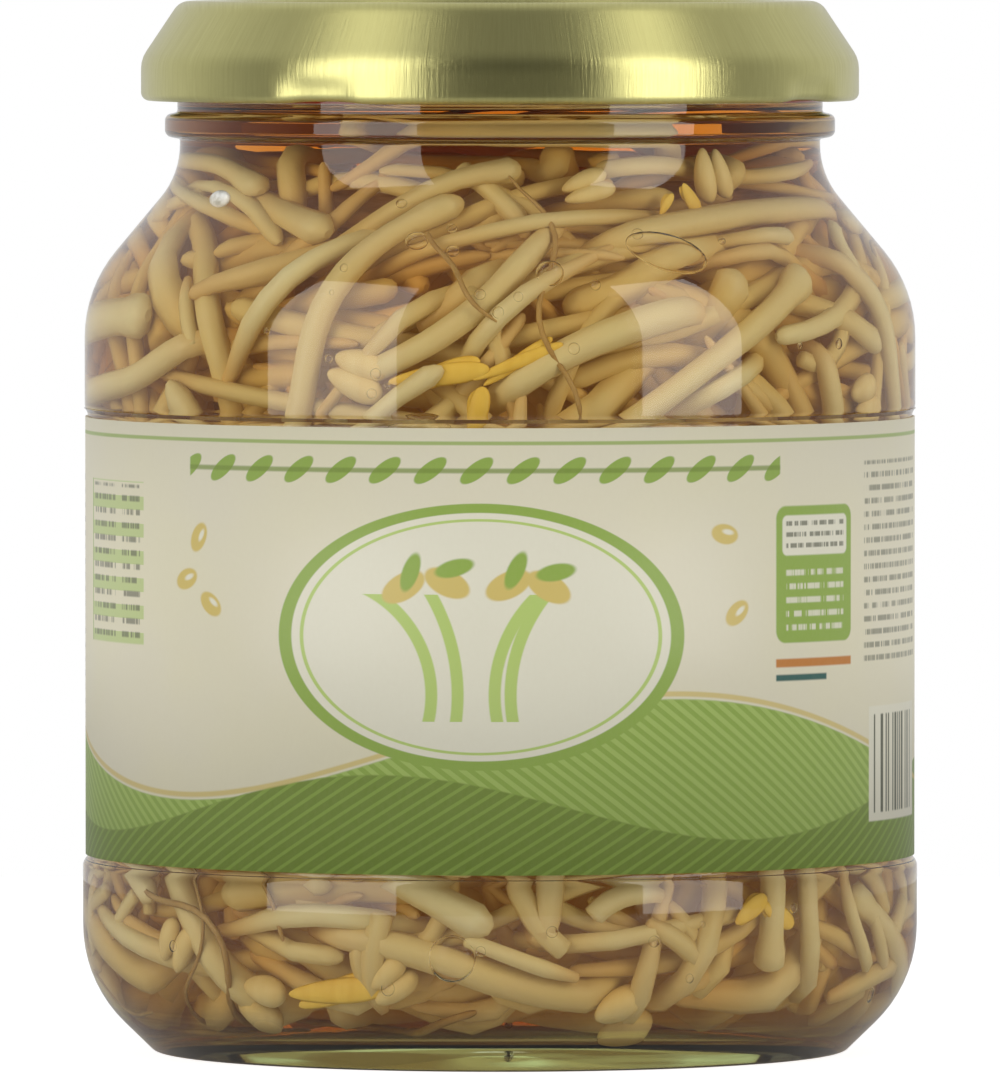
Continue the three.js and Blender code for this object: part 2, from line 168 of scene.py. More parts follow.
def mesh_object(name, points, faces, materials, slots=None, smooth=True):
    """A mesh at its place, from points in millimetres."""
    mesh = bpy.data.meshes.new(name)
    mesh.from_pydata((np.asarray(points) * MM).tolist(), [], [list(map(int, f)) for f in faces])
    for material in materials:
        mesh.materials.append(material)
    if slots is not None:
        mesh.polygons.foreach_set("material_index", np.asarray(slots, np.int32))
    mesh.polygons.foreach_set("use_smooth", [smooth] * len(mesh.polygons))
    mesh.validate()
    mesh.update()
    piece = bpy.data.objects.new(name, mesh)
    bpy.context.scene.collection.objects.link(piece)
    return piece


def lathe(rows, sides, shape=None, closed=False):
    """Points and faces of a turned form whose outline runs up its outside. shape(r, z, angle) may move it."""
    angles = np.arange(sides) * TAU / sides
    points, faces, row_of, rings = [], [], [], []
    for k, (r, z) in enumerate(rows):
        if r < 1e-6:
            rings.append([len(points)])
            points.append((0, 0, z))
            continue
        rr, zz = (np.full(sides, r), np.full(sides, z)) if shape is None else shape(k, r, z, angles)
        rings.append(list(range(len(points), len(points) + sides)))
        points += list(zip(rr * np.cos(angles), rr * np.sin(angles), zz))
    pairs = list(zip(rings[:-1], rings[1:])) + ([(rings[-1], rings[0])] if closed else [])
    for k, (low, high) in enumerate(pairs):
        for i in range(sides):
            j = (i + 1) % sides
            if len(low) == 1 and len(high) == 1:
                continue
            if len(low) == 1:
                faces.append((low[0], high[j], high[i]))
            elif len(high) == 1:
                faces.append((low[i], low[j], high[0]))
            else:
                faces.append((low[i], low[j], high[j], high[i]))
            row_of.append(k)
    return np.array(points), faces, np.array(row_of)


def ramp(x, low, high):
    """A smooth step from 0 at low to 1 at high."""
    t = np.clip((x - low) / (high - low), 0, 1)
    return t * t * (3 - 2 * t)


# Shader nodes

class Net:
    """A material's nodes, with short words for the ones that are used over and over."""

    def __init__(self, name):
        self.material = bpy.data.materials.new(name)
        self.material.use_nodes = True
        self.tree = self.material.node_tree
        self.tree.nodes.clear()
        self.output = self.tree.nodes.new("ShaderNodeOutputMaterial")

    def node(self, kind, inputs=None, **settings):
        made = self.tree.nodes.new(kind)
        for key, value in settings.items():
            setattr(made, key, value)
        for key, value in (inputs or {}).items():
            self.feed(made.inputs[key], value)
        return made

    def feed(self, socket, value):
        if isinstance(value, bpy.types.NodeSocket):
            self.tree.links.new(value, socket)
        elif isinstance(value, (tuple, list)) and len(value) == 3 and socket.type == "RGBA":
            socket.default_value = (*value, 1)
        else:
            socket.default_value = value

    def math(self, operation, *values):
        return self.node("ShaderNodeMath", dict(enumerate(values)), operation=operation).outputs[0]

    def mix(self, factor, a, b, way="MIX"):
        made = self.node("ShaderNodeMix", data_type="RGBA", blend_type=way)
        for index, value in ((0, factor), (6, a), (7, b)):
            self.feed(made.inputs[index], value)
        return made.outputs[2]

    def object_place(self):
        return self.node("ShaderNodeTexCoord").outputs["Object"]

    def split(self, vector):
        return self.node("ShaderNodeSeparateXYZ", {0: vector}).outputs

    def join(self, x=0.0, y=0.0, z=0.0):
        return self.node("ShaderNodeCombineXYZ", {0: x, 1: y, 2: z}).outputs[0]

    def noise(self, vector, scale, detail=2.0, rough=0.5):
        return self.node("ShaderNodeTexNoise", {"Vector": vector, "Scale": scale, "Detail": detail,
                                                "Roughness": rough}).outputs["Fac"]

    def scaled(self, vector, scale):
        return self.node("ShaderNodeMapping", {"Vector": vector, "Scale": scale}).outputs[0]

    def step(self, x, low, high):
        """0 below low, 1 above high, smooth between."""
        return self.node("ShaderNodeMapRange", {0: x, 1: low, 2: high, 3: 0.0, 4: 1.0},
                         interpolation_type="SMOOTHSTEP").outputs[0]

    def attribute(self, name):
        return self.node("ShaderNodeAttribute", attribute_name=name).outputs["Fac"]

    def bump(self, height, distance, strength=1.0):
        return self.node("ShaderNodeBump", {"Height": height, "Distance": distance,
                                            "Strength": strength}).outputs[0]

    def principled(self, **values):
        made = self.node("ShaderNodeBsdfPrincipled")
        for key, value in values.items():
            self.feed(made.inputs[key.replace("_", " ")], value)
        return made.outputs[0]

    def absorb(self, colour, density):
        """What the body takes from light on its way through it."""
        inside = self.node("ShaderNodeVolumeAbsorption", {"Color": colour, "Density": density})
        self.tree.links.new(inside.outputs[0], self.output.inputs["Volume"])

    def finish(self, surface):
        self.tree.links.new(surface, self.output.inputs["Surface"])
        self.material.cycles.emission_sampling = "NONE"
        return self.material

    def see_through(self, colour, ior, tint):
        """Glass or liquid that lets light in without a shadow of its own."""
        surface = self.principled(Base_Color=colour, Roughness=0.0, IOR=ior, Transmission_Weight=1.0)
        path = self.node("ShaderNodeLightPath").outputs
        plain = self.math("MAXIMUM", path["Is Shadow Ray"], path["Is Diffuse Ray"])
        clear = self.node("ShaderNodeBsdfTransparent", {"Color": tint}).outputs[0]
        return self.finish(self.node("ShaderNodeMixShader", {0: plain, 1: surface, 2: clear}).outputs[0])


def clear_glass():
    net = Net("clear_glass")
    place = net.object_place()
    height = net.split(place)[2]
    slivers = net.step(net.noise(net.scaled(place, (35.0, 35.0, 900.0)), 1.0, 2.0), 0.52, 0.66)
    foot = net.mix(slivers, (0.15, 0.11, 0.022), (0.40, 0.47, 0.18))
    tint = net.mix(net.step(height, 0.0025, 0.0075), foot, (0.985, 0.99, 0.975))
    return net.see_through(tint, GLASS_IOR, (0.96, 0.96, 0.94))


def wetted_glass():
    """The inside of the glass under the brine, whose step in IOR is glass against water."""
    net = Net("wetted_glass")
    return net.see_through((0.99, 0.985, 0.96), WETTED_IOR, (0.98, 0.97, 0.93))


def brine_liquid(name, ior):
    net = Net(name)
    net.absorb((0.90, 0.66, 0.14), 100.0)
    return net.see_through((1.0, 0.99, 0.97), ior, (1.0, 0.99, 0.97))


def air_bubble():
    return Net("air_bubble").see_through((1.0, 0.99, 0.95), BUBBLE_IOR, (0.97, 0.95, 0.9))


def painted_reflection_bubble():
    """An air bubble with a painted reflection of the white room: pale colour with painted glints."""
    net = Net("painted_reflection_bubble")
    # Painted glints: light and grey patches standing in for the mirrored room.
    painted_glint = net.step(net.noise(net.object_place(), 700.0, 2.0), 0.35, 0.6)
    return net.finish(net.principled(Base_Color=net.mix(painted_glint, (0.55, 0.54, 0.47), (0.97, 0.97, 0.94)),
                                     Roughness=0.2, Specular_IOR_Level=0.8))


def sprout_flesh():
    """Pale stems, browner towards the root, with painted amber shade on the deeper ones and a painted amber
    glow.
    """
    net = Net("sprout_flesh")
    place = net.object_place()
    tone, along, depth = (net.attribute(a) for a in ("tone", "along", "depth"))
    pale = net.mix(tone, (0.70, 0.62, 0.34), (0.63, 0.50, 0.22))
    rooty = net.mix(net.step(along, 0.62, 1.0), pale, (0.64, 0.46, 0.20))
    mottle = net.noise(place, 260.0, 3.0, 0.6)
    flesh = net.mix(net.math("MULTIPLY", net.step(mottle, 0.35, 0.75), 0.30), rooty, (0.68, 0.52, 0.28))
    # Painted amber shade: stems that lie deeper are darkened and tinted amber, for the shade there and the
    # brine's tint.
    painted_shade_by_depth = net.node("ShaderNodeMapRange", {0: depth, 1: 1.5, 2: 9.5, 3: 0.0, 4: 1.0}).outputs[0]
    painted_amber_shade = net.mix(painted_shade_by_depth, (0.92, 0.91, 0.85), (1.0, 0.91, 0.68))
    colour = net.mix(1.0, flesh, painted_amber_shade, "MULTIPLY")
    ridges = net.noise(place, 900.0, 2.0)
    normal = net.bump(ridges, 0.0002, 0.35)
    # The emission is a painted amber glow, standing in for light that the wet stems let through.
    return net.finish(net.principled(Base_Color=colour, Roughness=0.42, Specular_IOR_Level=0.18,
                                     Normal=normal, Emission_Color=PAINTED_GLOW_COLOUR, Emission_Strength=PAINTED_GLOW))


def heap_core():
    net = Net("heap_core")
    strands = net.noise(net.scaled(net.object_place(), (140.0, 140.0, 520.0)), 1.0, 3.0)
    # The core's amber-brown is painted shade and brine tint of the stems deep in the heap; its strands stand
    # for more stems.
    colour = net.mix(net.step(strands, 0.35, 0.65), (0.34, 0.21, 0.08), (0.60, 0.44, 0.22))
    # The emission is the same painted amber glow as the stems'.
    return net.finish(net.principled(Base_Color=colour, Roughness=0.7, Specular_IOR_Level=0.1,
                                     Emission_Color=PAINTED_GLOW_COLOUR, Emission_Strength=PAINTED_GLOW,
                                     Normal=net.bump(strands, 0.002, 0.8)))


def leaf_flesh(name, light, dark):
    net = Net(name)
    veins = net.noise(net.scaled(net.object_place(), (900.0, 900.0, 300.0)), 1.0, 3.0)
    return net.finish(net.principled(Base_Color=net.mix(veins, light, dark), Roughness=0.45,
                                     Specular_IOR_Level=0.2, Normal=net.bump(veins, 0.0002, 0.4)))


def gold_lacquer():
    """Greenish gold lacquer over brushed tinplate: upright grain on the skirt, straight grain on the top."""
    net = Net("gold_lacquered_tinplate")
    x, y, z = net.split(net.object_place())
    angle = net.math("ARCTAN2", y, x)
    upright, across = (
        net.noise(net.join(net.math("MULTIPLY", a, wide), net.math("MULTIPLY", b, long), 0.0), 1.0, 4.0, 0.7)
        for a, wide, b, long in ((angle, 95.0, z, 160.0), (x, 3200.0, y, 130.0)))
    on_top = net.step(z, 0.0998, 0.1008)
    grain = net.node("ShaderNodeMix", {0: on_top, 2: upright, 3: across}, data_type="FLOAT").outputs[0]
    blotch = net.noise(net.object_place(), 55.0, 3.0)
    colour = net.mix(net.math("MULTIPLY", blotch, 0.6), (0.72, 0.70, 0.32), (0.60, 0.57, 0.21))
    colour = net.mix(net.math("MULTIPLY", grain, 0.6), colour, (0.42, 0.38, 0.14))
    rough = net.node("ShaderNodeMapRange", {0: grain, 3: 0.27, 4: 0.42}).outputs[0]
    around = net.node("ShaderNodeTangent", direction_type="RADIAL", axis="Z").outputs[0]
    return net.finish(net.principled(Base_Color=colour, Metallic=1.0, Roughness=rough, Tangent=around,
                                     Anisotropic=0.85, Anisotropic_Rotation=0.25,
                                     Normal=net.bump(grain, 0.00004, 0.5)))


def seal_compound():
    net = Net("seal_compound")
    soft = net.noise(net.object_place(), 300.0, 2.0)
    colour = net.mix(soft, (0.80, 0.77, 0.66), (0.88, 0.86, 0.78))
    return net.finish(net.principled(Base_Color=colour, Roughness=0.5, Normal=net.bump(soft, 0.0001, 0.3)))


# Glass and brine

def glass_outside():
    step = (BODY_R - LABEL_PANEL_R) / 2
    return outline([
        (0, 2.2), (27, 1.9, 4), (31.6, 0, 0.5), (33.4, 0, 0.8), (BODY_R, 6.6, 13),
        (BODY_R, LABEL_PANEL_Z[0] - step, 1), (LABEL_PANEL_R, LABEL_PANEL_Z[0] + step, 1),
        (LABEL_PANEL_R, LABEL_PANEL_Z[1], 1), (UPPER_BAND_R, LABEL_PANEL_Z[1] + step, 1),
        (UPPER_BAND_R, SHOULDER_Z, 13), (NECK_R, NECK_Z, 8), (NECK_R, RING_Z - 1.3, 0.25),
        (RING_R, RING_Z - 1, 0.7), (RING_R, RING_Z + 1, 0.7), (FINISH_R, RING_Z + 1.3, 0.25),
        (FINISH_R, RIM_Z, 0.9), (FINISH_R / 2 + BORE_R / 2, RIM_Z),
    ])


def inside_corners():
    return [(0, FLOOR_Z), (INSIDE_R, FLOOR_Z - FLOOR_FALL, 9), (INSIDE_R, INSIDE_SHOULDER_Z, 10.45),
            (BORE_R, INSIDE_NECK_Z, 10.4)]


def glass_inside(top):
    return outline(inside_corners() + [(BORE_R, top)])


def thread_rise(z, angles):
    """How far the four threads stand out of the finish."""
    degrees = np.degrees(angles)
    rise = np.zeros_like(angles)
    for lead in range(LEADS):
        along = (degrees - FIRST_LEAD - 360 / LEADS * lead + 180) % 360 - 180
        run = ramp(along, -10, -1) * (1 - ramp(along, THREAD_ARC + 1, THREAD_ARC + 10))
        away = np.abs(z - THREAD_Z - PITCH * along / 360)
        rise = np.maximum(rise, run * (1 - ramp(away, 0.35, 1.0)))
    return rise * (THREAD_CREST_R - FINISH_R)


def heel_marks(angles, z):
    """Small raised strokes moulded round the heel."""
    stroke = np.degrees(angles + math.pi / 2) / HEEL_MARK_STEP
    shown = (stroke % 1 < 0.55) & (np.sin(stroke.astype(int) * 2.4) > -0.5)
    upright = ramp(z, 7.6, 8.1) - ramp(z, 8.9, 9.4)
    return np.where(shown, HEEL_MARK, 0) * upright * (np.abs(stroke) < HEEL_MARKS_ARC)


def make_glass(glass, wetted):
    outer = spaced(glass_outside(), 1.6, ((6.5, 10.5, 0.6), (91.0, 100.0, 0.65)))
    inner = spaced(glass_inside(RIM_Z - 0.6), 2.0)[::-1]
    lip = outline([(FINISH_R / 2 + BORE_R / 2, RIM_Z), (BORE_R, RIM_Z, 0.6), (BORE_R, RIM_Z - 0.6)])[1:-1]
    rows = np.concatenate([outer, lip, inner])
    count = len(outer)
    wave = np.random.default_rng(WAVE_SEED).uniform(0, TAU, WAVES)

    def shape(k, r, z, angles):
        rr, zz = np.full(len(angles), r), np.full(len(angles), z)
        if k < count:
            if r > 30.9 and 92 < z < 98.9:
                rr = rr + thread_rise(z, angles)
            if r > 33.5 and 7 < z < 10:
                rr = rr + heel_marks(angles, z)
        elif r > 20 and z < 88:
            for n, phase in enumerate(wave):
                rr = rr + WAVE * np.sin((2 + n) * angles + phase + z * 0.09 * (n - 2.5))
        return rr, zz

    points, faces, row_of = lathe(rows, GLASS_SIDES, shape)
    low = np.array([rows[min(k + 1, len(rows) - 1)][1] for k in row_of])
    slots = ((row_of >= count) & (low < BRINE_LEVEL)).astype(int)
    return mesh_object("glass_jar", points, faces, [glass, wetted], slots)


def make_brine(walls, surface):
    side = inset(spaced(glass_inside(BRINE_LEVEL), 1.5), BRINE_GAP)
    side[0] = (0, side[0][1])
    rim_r = side[-1][0]
    low = BRINE_LEVEL - MENISCUS
    meniscus = [(rim_r - 0.05 - d, low + MENISCUS * math.exp(-d / MENISCUS))
                for d in (0.2, 0.5, 1.0, 1.8, 3.0)]
    rows = np.array(list(side) + meniscus + [(12, low), (0, low)])
    points, faces, row_of = lathe(rows, BRINE_SIDES)
    slots = (row_of >= len(side) - 1).astype(int)
    return mesh_object("brine_liquid", points, faces, [walls, surface], slots)


# The heap of sprouts

def heap_corners():
    r = BORE_R - 1
    return inside_corners()[:3] + [(r, INSIDE_NECK_Z + 1.2, 8), (r, HEAP_TOP_Z, 3), (0, HEAP_TOP_Z)]


class Skin:
    """The outline that the heap fills, its way in at each corner and the area up to it."""

    def __init__(self):
        self.at = outline(heap_corners(), 9.0)
        self.inward = inset(self.at, 1.0) - self.at
        last = self.at[np.maximum(np.arange(len(self.at)) - 1, 0)]
        self.area = np.cumsum(np.linalg.norm(self.at - last, axis=1) * (self.at[:, 0] + last[:, 0]))
        self.side = self.at[1:] - self.at[:-1]
        self.length2 = (self.side ** 2).sum(1)

    def place(self, i, part, angle):
        point = self.at[i] + self.side[i] * part[:, None]
        inward = self.inward[i] + (self.inward[i + 1] - self.inward[i]) * part[:, None]
        inward /= np.linalg.norm(inward, axis=1)[:, None]
        c, s = np.cos(angle), np.sin(angle)
        return (np.stack([c * point[:, 0], s * point[:, 0], point[:, 1]], 1),
                np.stack([c * inward[:, 0], s * inward[:, 0], inward[:, 1]], 1))

    def by_area(self, share, angle):
        wanted = share * self.area[-1]
        i = np.maximum(np.searchsorted(self.area, wanted) - 1, 0)
        part = (wanted - self.area[i]) / (self.area[i + 1] - self.area[i])
        return self.place(i, part, angle)

    def nearest(self, at):
        flat = np.stack([np.hypot(at[:, 0], at[:, 1]), at[:, 2]], 1)
        off = flat[:, None] - self.at[None, :-1]
        part = np.clip((off * self.side).sum(2) / self.length2, 0, 1)
        gap = np.linalg.norm(off - self.side * part[:, :, None], axis=2)
        i = gap.argmin(1)
        return self.place(i, part[np.arange(len(i)), i], np.arctan2(at[:, 1], at[:, 0]))


def turn_about(vector, axis, angle):
    c, s = np.cos(angle)[:, None], np.sin(angle)[:, None]
    return vector * c + np.cross(axis, vector) * s + axis * (vector * axis).sum(1)[:, None] * (1 - c)


def walk(skin, start, heading, bend, length, steps):
    """Paths over the skin, all at once: places and ways in, one row for each step."""
    place, inward = start
    direction = np.stack([-place[:, 1], place[:, 0], np.zeros(len(place))], 1)
    direction /= np.linalg.norm(direction, axis=1)[:, None]
    direction = turn_about(direction, inward, heading)
    places, ways = [place], [inward]
    for k in range(1, steps + 1):
        place, inward = skin.nearest(place + direction * (length / steps)[:, None])
        direction = direction - inward * (direction * inward).sum(1)[:, None]
        direction /= np.linalg.norm(direction, axis=1)[:, None]
        direction = turn_about(direction, inward, bend(k / steps) * length / steps)
        places.append(place)
        ways.append(inward)
    return np.stack(places, 1), np.stack(ways, 1)


def swaying(bow, sway=0, waves=0, phase=0):
    """A path's bend at a share of its length: a steady bow and a sway."""
    return lambda t: bow + sway * np.sin(waves * t + phase)


def drawn(count):
    """The numbers that the part's source draws for each of its tries."""
    state, rows = SEED, []
    for _ in range(count):
        row = []
        for _ in range(9):
            state = (state * 1664525 + 1013904223) % 4294967296
            row.append(state / 4294967296)
        rows.append(row)
    return np.array(rows).T


def thickness(t, r, headed):
    stem = r * (1 - 0.4 * ramp(t, 0.7, 1))
    return np.where(headed & (t < 0.2), r * np.where(t == 0, 0.75, 1.25), stem)


def gaps(at, r, others, other_r, share=1.0):
    """Above 0 where a bead is clear of another one."""
    apart = (at ** 2).sum(1)[:, None] + (others ** 2).sum(1)[None] - 2 * at @ others.T
    return apart - (share * (r[:, None] + other_r[None])) ** 2


def main_sprouts(skin):
    """The sprouts of the part's source: one dict each, with its path, depth and thickness."""
    heading, skew, back, sway, phase, lean, girth, reach, head = drawn(TRIES)
    order = np.arange(TRIES)
    share, turn = ((0.5 + order * step) % 1 for step in EVEN_SPREAD)
    heading = -0.6 + 1.2 * heading + np.where(skew < 0.15, 1.2, 0) + np.where(back < 0.5, math.pi, 0)
    sway, phase, lean = -0.035 + 0.07 * sway, TAU * phase, -0.015 + 0.03 * lean
    girth, reach, headed = 1.6 + 0.45 * girth, 30 + 24 * reach, head < 0.35
    places, ways = walk(skin, skin.by_area(share, TAU * turn), heading,
                        swaying(lean, sway, 5, phase), reach, SPROUT_STEPS)
    t = np.arange(SPROUT_STEPS + 1) / SPROUT_STEPS
    laid_at, laid_r, found = np.zeros((0, 3)), np.zeros(0), []
    fine = np.arange(SPROUT_STEPS * BEADS_A_STEP + 1) / BEADS_A_STEP
    share_of = np.clip(1 - np.abs(fine[:, None] - np.arange(SPROUT_STEPS + 1)[None]), 0, 1)
    middles = places.mean(1)
    for i in range(TRIES):
        if len(found) == SPROUT_COUNT:
            break
        radii = thickness(t, girth[i], headed[i])
        dip = np.where(headed[i] & (t < 0.5), 0, ramp(np.abs(2 * t - 1), 0.7, 1))
        near = ((laid_at - middles[i]) ** 2).sum(1) < (reach[i] / 2 + 16) ** 2
        near_at, near_r = laid_at[near], laid_r[near]
        for level in LEVELS:
            depth = level + (CORE_DEPTH + SUNK - level) * dip
            rows = places[i] + ways[i] * depth[:, None]
            showing = share_of @ depth < CORE_DEPTH
            at, r = (share_of @ rows)[showing], (share_of @ radii)[showing]
            if len(near_r) == 0 or gaps(at, r, near_at, near_r).min() > 0:
                laid_at, laid_r = np.concatenate([laid_at, at]), np.concatenate([laid_r, r])
                found.append({"rows": rows, "depth": depth, "r": girth[i], "headed": bool(headed[i]), "i": i})
                break
    return found


def smoothed(rows, count):
    """A smooth line through rows of numbers."""
    padded = np.concatenate([2 * rows[:1] - rows[1:2], rows, 2 * rows[-1:] - rows[-2:-1]])
    s = np.linspace(0, len(rows) - 1, count)
    i = np.minimum(s.astype(int), len(rows) - 2)
    f = (s - i)[:, None]
    a, b, c, d = (padded[i + k] for k in range(4))
    bend, twist = 2 * a - 5 * b + 4 * c - d, 3 * b - a - 3 * c + d
    return 0.5 * (2 * b + (c - a) * f + bend * f ** 2 + twist * f ** 3)


def girth_along(t, r, headed):
    """A sprout's thickness: rounded at its ends, fuller at a seed head, thin and crooked at its root."""
    stem = r * (1 - 0.42 * ramp(t, 0.7, 1)) * (0.93 + 0.07 * ramp(t, 0, 0.3))
    if headed:
        stem = stem * (1 + 0.38 * np.exp(-((t - 0.05) / 0.045) ** 2))
    tip = np.sqrt(np.clip(1 - (1 - np.clip(t / 0.03, 0, 1)) ** 2, 0.12, 1))
    end = np.sqrt(np.clip(1 - (1 - np.clip((1 - t) / 0.025, 0, 1)) ** 2, 0.10, 1))
    return stem * tip * end


def depths_free(path, ways, r, laid_at, laid_r, lowest, highest):
    """The least depth at which each point of a path is clear of what is laid."""
    grid = np.arange(lowest, highest + 0.01, 0.5)
    reach = highest + 2.0
    near = (gaps(path[::2], np.full(len(path[::2]), reach), laid_at, np.zeros(len(laid_at))) < 0).any(0)
    if not near.any():
        return np.full(len(path), lowest)
    rows = (path[None] + ways[None] * grid[:, None, None]).reshape(-1, 3)
    clear = gaps(rows, np.tile(r, len(grid)), laid_at[near], laid_r[near], CRUSH).min(1) > 0
    clear = clear.reshape(len(grid), -1)
    return np.where(clear.any(0), grid[clear.argmax(0)], highest + 1.0)


def more_sprouts(skin, main, count, seed):
    """Sprouts laid over and between the main ones, each as near the glass as those before it allow."""
    rng = np.random.default_rng(seed)
    tries = count * 3
    places, ways = walk(
        skin, skin.by_area(rng.uniform(0.02, 0.98, tries), rng.uniform(0, TAU, tries)),
        rng.normal(0, 0.55, tries) + np.where(rng.random(tries) < 0.5, math.pi, 0),
        swaying(rng.normal(0, 0.016, tries), rng.uniform(-0.05, 0.05, tries), 6, rng.uniform(0, TAU, tries)),
        rng.uniform(30, 72, tries), FINE_STEPS)
    girths = rng.choice(MORE_GIRTHS, tries) * rng.uniform(0.94, 1.06, tries)
    t = np.arange(FINE_STEPS + 1) / FINE_STEPS
    laid_at = np.concatenate([s["line"] for s in main]).astype(np.float32)
    laid_r = np.concatenate([s["girth"] for s in main]).astype(np.float32)
    places, ways = places.astype(np.float32), ways.astype(np.float32)
    found = []
    for i in range(tries):
        if len(found) == count:
            break
        if places[i, :, 2].max() > BRINE_SHOWS_Z:
            continue
        r = girths[i] * (1 - 0.42 * ramp(t, 0.7, 1))
        lowest = girths[i] + 0.25
        free = depths_free(places[i], ways[i], r, laid_at, laid_r, lowest, DEEPEST)
        stiff = np.array([free[max(0, k - 2):k + 3].max() for k in range(FINE_STEPS + 1)])
        stiff = np.convolve(np.pad(stiff, 3, mode="edge"), np.ones(7) / 7, "valid")
        headed = bool(rng.random() < HEADED_SHARE)
        dip = rng.uniform(0.6, 3.4, 2)
        stiff = stiff + dip[1] * ramp(t, 0.7, 1) + (0 if headed else dip[0]) * (1 - ramp(t, 0, 0.3))
        if stiff.max() > 12.5 or np.median(stiff) > 8.8:
            continue
        rows = places[i] + ways[i] * stiff[:, None]
        laid_at, laid_r = np.concatenate([laid_at, rows]), np.concatenate([laid_r, r])
        found.append({"rows": rows, "r": girths[i], "headed": headed, "i": MORE_FROM + i})
    return found


def scraps(skin, count, seed):
    """Short broken bits that have settled at the bottom and in the gaps."""
    rng = np.random.default_rng(seed)
    settled = np.arange(count) < 0.6 * count
    share = np.where(settled, rng.uniform(0.14, 0.24, count), rng.uniform(0.2, 0.9, count))
    places, ways = walk(
        skin, skin.by_area(share, rng.uniform(0, TAU, count)), rng.uniform(0, TAU, count),
        swaying(rng.normal(0, 0.14, count)), rng.uniform(7, 15, count), 6)
    depth = rng.uniform(1.7, 3.2, count)
    return [{"rows": places[i] + ways[i] * depth[i], "r": rng.uniform(0.8, 1.25), "headed": False,
             "i": SCRAPS_FROM + i} for i in range(count) if places[i, :, 2].max() < BRINE_SHOWS_Z]


def deep_sprouts(skin, count, seed):
    """Sprouts that fill what shows between the others, far in."""
    rng = np.random.default_rng(seed)
    places, ways = walk(
        skin, skin.by_area(rng.uniform(0.02, 0.98, count), rng.uniform(0, TAU, count)),
        rng.normal(0, 0.7, count), swaying(rng.normal(0, 0.02, count)),
        rng.uniform(35, 60, count), 10)
    depth = rng.uniform(8.2, 10.0, count)
    return [{"rows": places[i] + ways[i] * depth[i], "r": rng.uniform(1.2, 1.7), "headed": False,
             "i": DEEP_FROM + i} for i in range(count) if places[i, :, 2].max() < BRINE_SHOWS_Z]


def lines_of(skin, sprouts, steps):
    """Adds to each sprout its smooth line, thickness and what its colour goes by."""
    t = np.concatenate([[0, 0.01], np.linspace(0.03, 0.975, steps - 4), [0.992, 1]])
    for s in sprouts:
        line = smoothed(s["rows"], LINE_POINTS)
        at = np.stack([np.interp(t, np.linspace(0, 1, LINE_POINTS), line[:, c]) for c in range(3)], 1)
        girth = girth_along(t, s["r"] * (SLIM if s["i"] < TRIES else 1), s["headed"])
        place, inward = skin.nearest(at)
        depth = ((at - place) * inward).sum(1)
        out = np.clip(depth - s["r"] - 0.35, 0, 0.65) if s["i"] < TRIES else np.zeros(steps)
        s.update(line=at - inward * out[:, None], girth=girth, depth=depth - out, along=t,
                 tone=(math.sin(s["i"] * 12.9898) * 43758.5453) % 1)
    return sprouts


def path_mesh(name, sprouts):
    """Bare lines with what the stalk tree needs at each point."""
    mesh = bpy.data.meshes.new(name)
    points = np.concatenate([s["line"] for s in sprouts]) * MM
    edges, start = [], 0
    for s in sprouts:
        edges += [(start + k, start + k + 1) for k in range(len(s["line"]) - 1)]
        start += len(s["line"])
    mesh.from_pydata(points.tolist(), edges, [])
    for key, scale in (("girth", MM), ("depth", 1), ("along", 1), ("tone", 1)):
        values = np.concatenate([np.broadcast_to(s[key], len(s["line"])) for s in sprouts]) * scale
        column = mesh.attributes.new(key, "FLOAT", "POINT")
        column.data.foreach_set("value", values.astype(np.float32))
    piece = bpy.data.objects.new(name, mesh)
    bpy.context.scene.collection.objects.link(piece)
    return piece


def stalk_tree():
    """Turns lines into round stalks as thick as each point says."""
    tree = bpy.data.node_groups.new("stalks_along_lines", "GeometryNodeTree")
    for name, way, kind in (("Lines", "INPUT", "Geometry"), ("Sides", "INPUT", "Int"),
                            ("Flesh", "INPUT", "Material"), ("Stalks", "OUTPUT", "Geometry")):
        tree.interface.new_socket(name, in_out=way, socket_type="NodeSocket" + kind)
    given, result = tree.nodes.new("NodeGroupInput"), tree.nodes.new("NodeGroupOutput")
    kinds = ("MeshToCurve", "InputNamedAttribute", "SetCurveRadius", "CurvePrimitiveCircle", "CurveToMesh",
             "SetShadeSmooth", "RealizeInstances", "SetMaterial")
    curve, girth, thick, ring, tube, smooth, real, paint = (
        tree.nodes.new("GeometryNode" + kind) for kind in kinds)
    girth.data_type = "FLOAT"
    girth.inputs["Name"].default_value = "girth"
    ring.inputs["Radius"].default_value = 1.0
    tube.inputs["Fill Caps"].default_value = True
    ways = [
        (given, "Lines", curve, "Mesh"), (curve, "Curve", thick, "Curve"),
        (girth, "Attribute", thick, "Radius"), (given, "Sides", ring, "Resolution"),
        (thick, "Curve", tube, "Curve"), (ring, "Curve", tube, "Profile Curve"),
        (tube, "Mesh", smooth, "Geometry"), (smooth, "Geometry", real, "Geometry"),
        (real, "Geometry", paint, "Geometry"), (given, "Flesh", paint, "Material"),
        (paint, "Geometry", result, "Stalks"),
    ]
    if "Scale" in tube.inputs:
        ways.append((girth, "Attribute", tube, "Scale"))
    for source, out, target, into in ways:
        tree.links.new(source.outputs[out], target.inputs[into])
    return tree


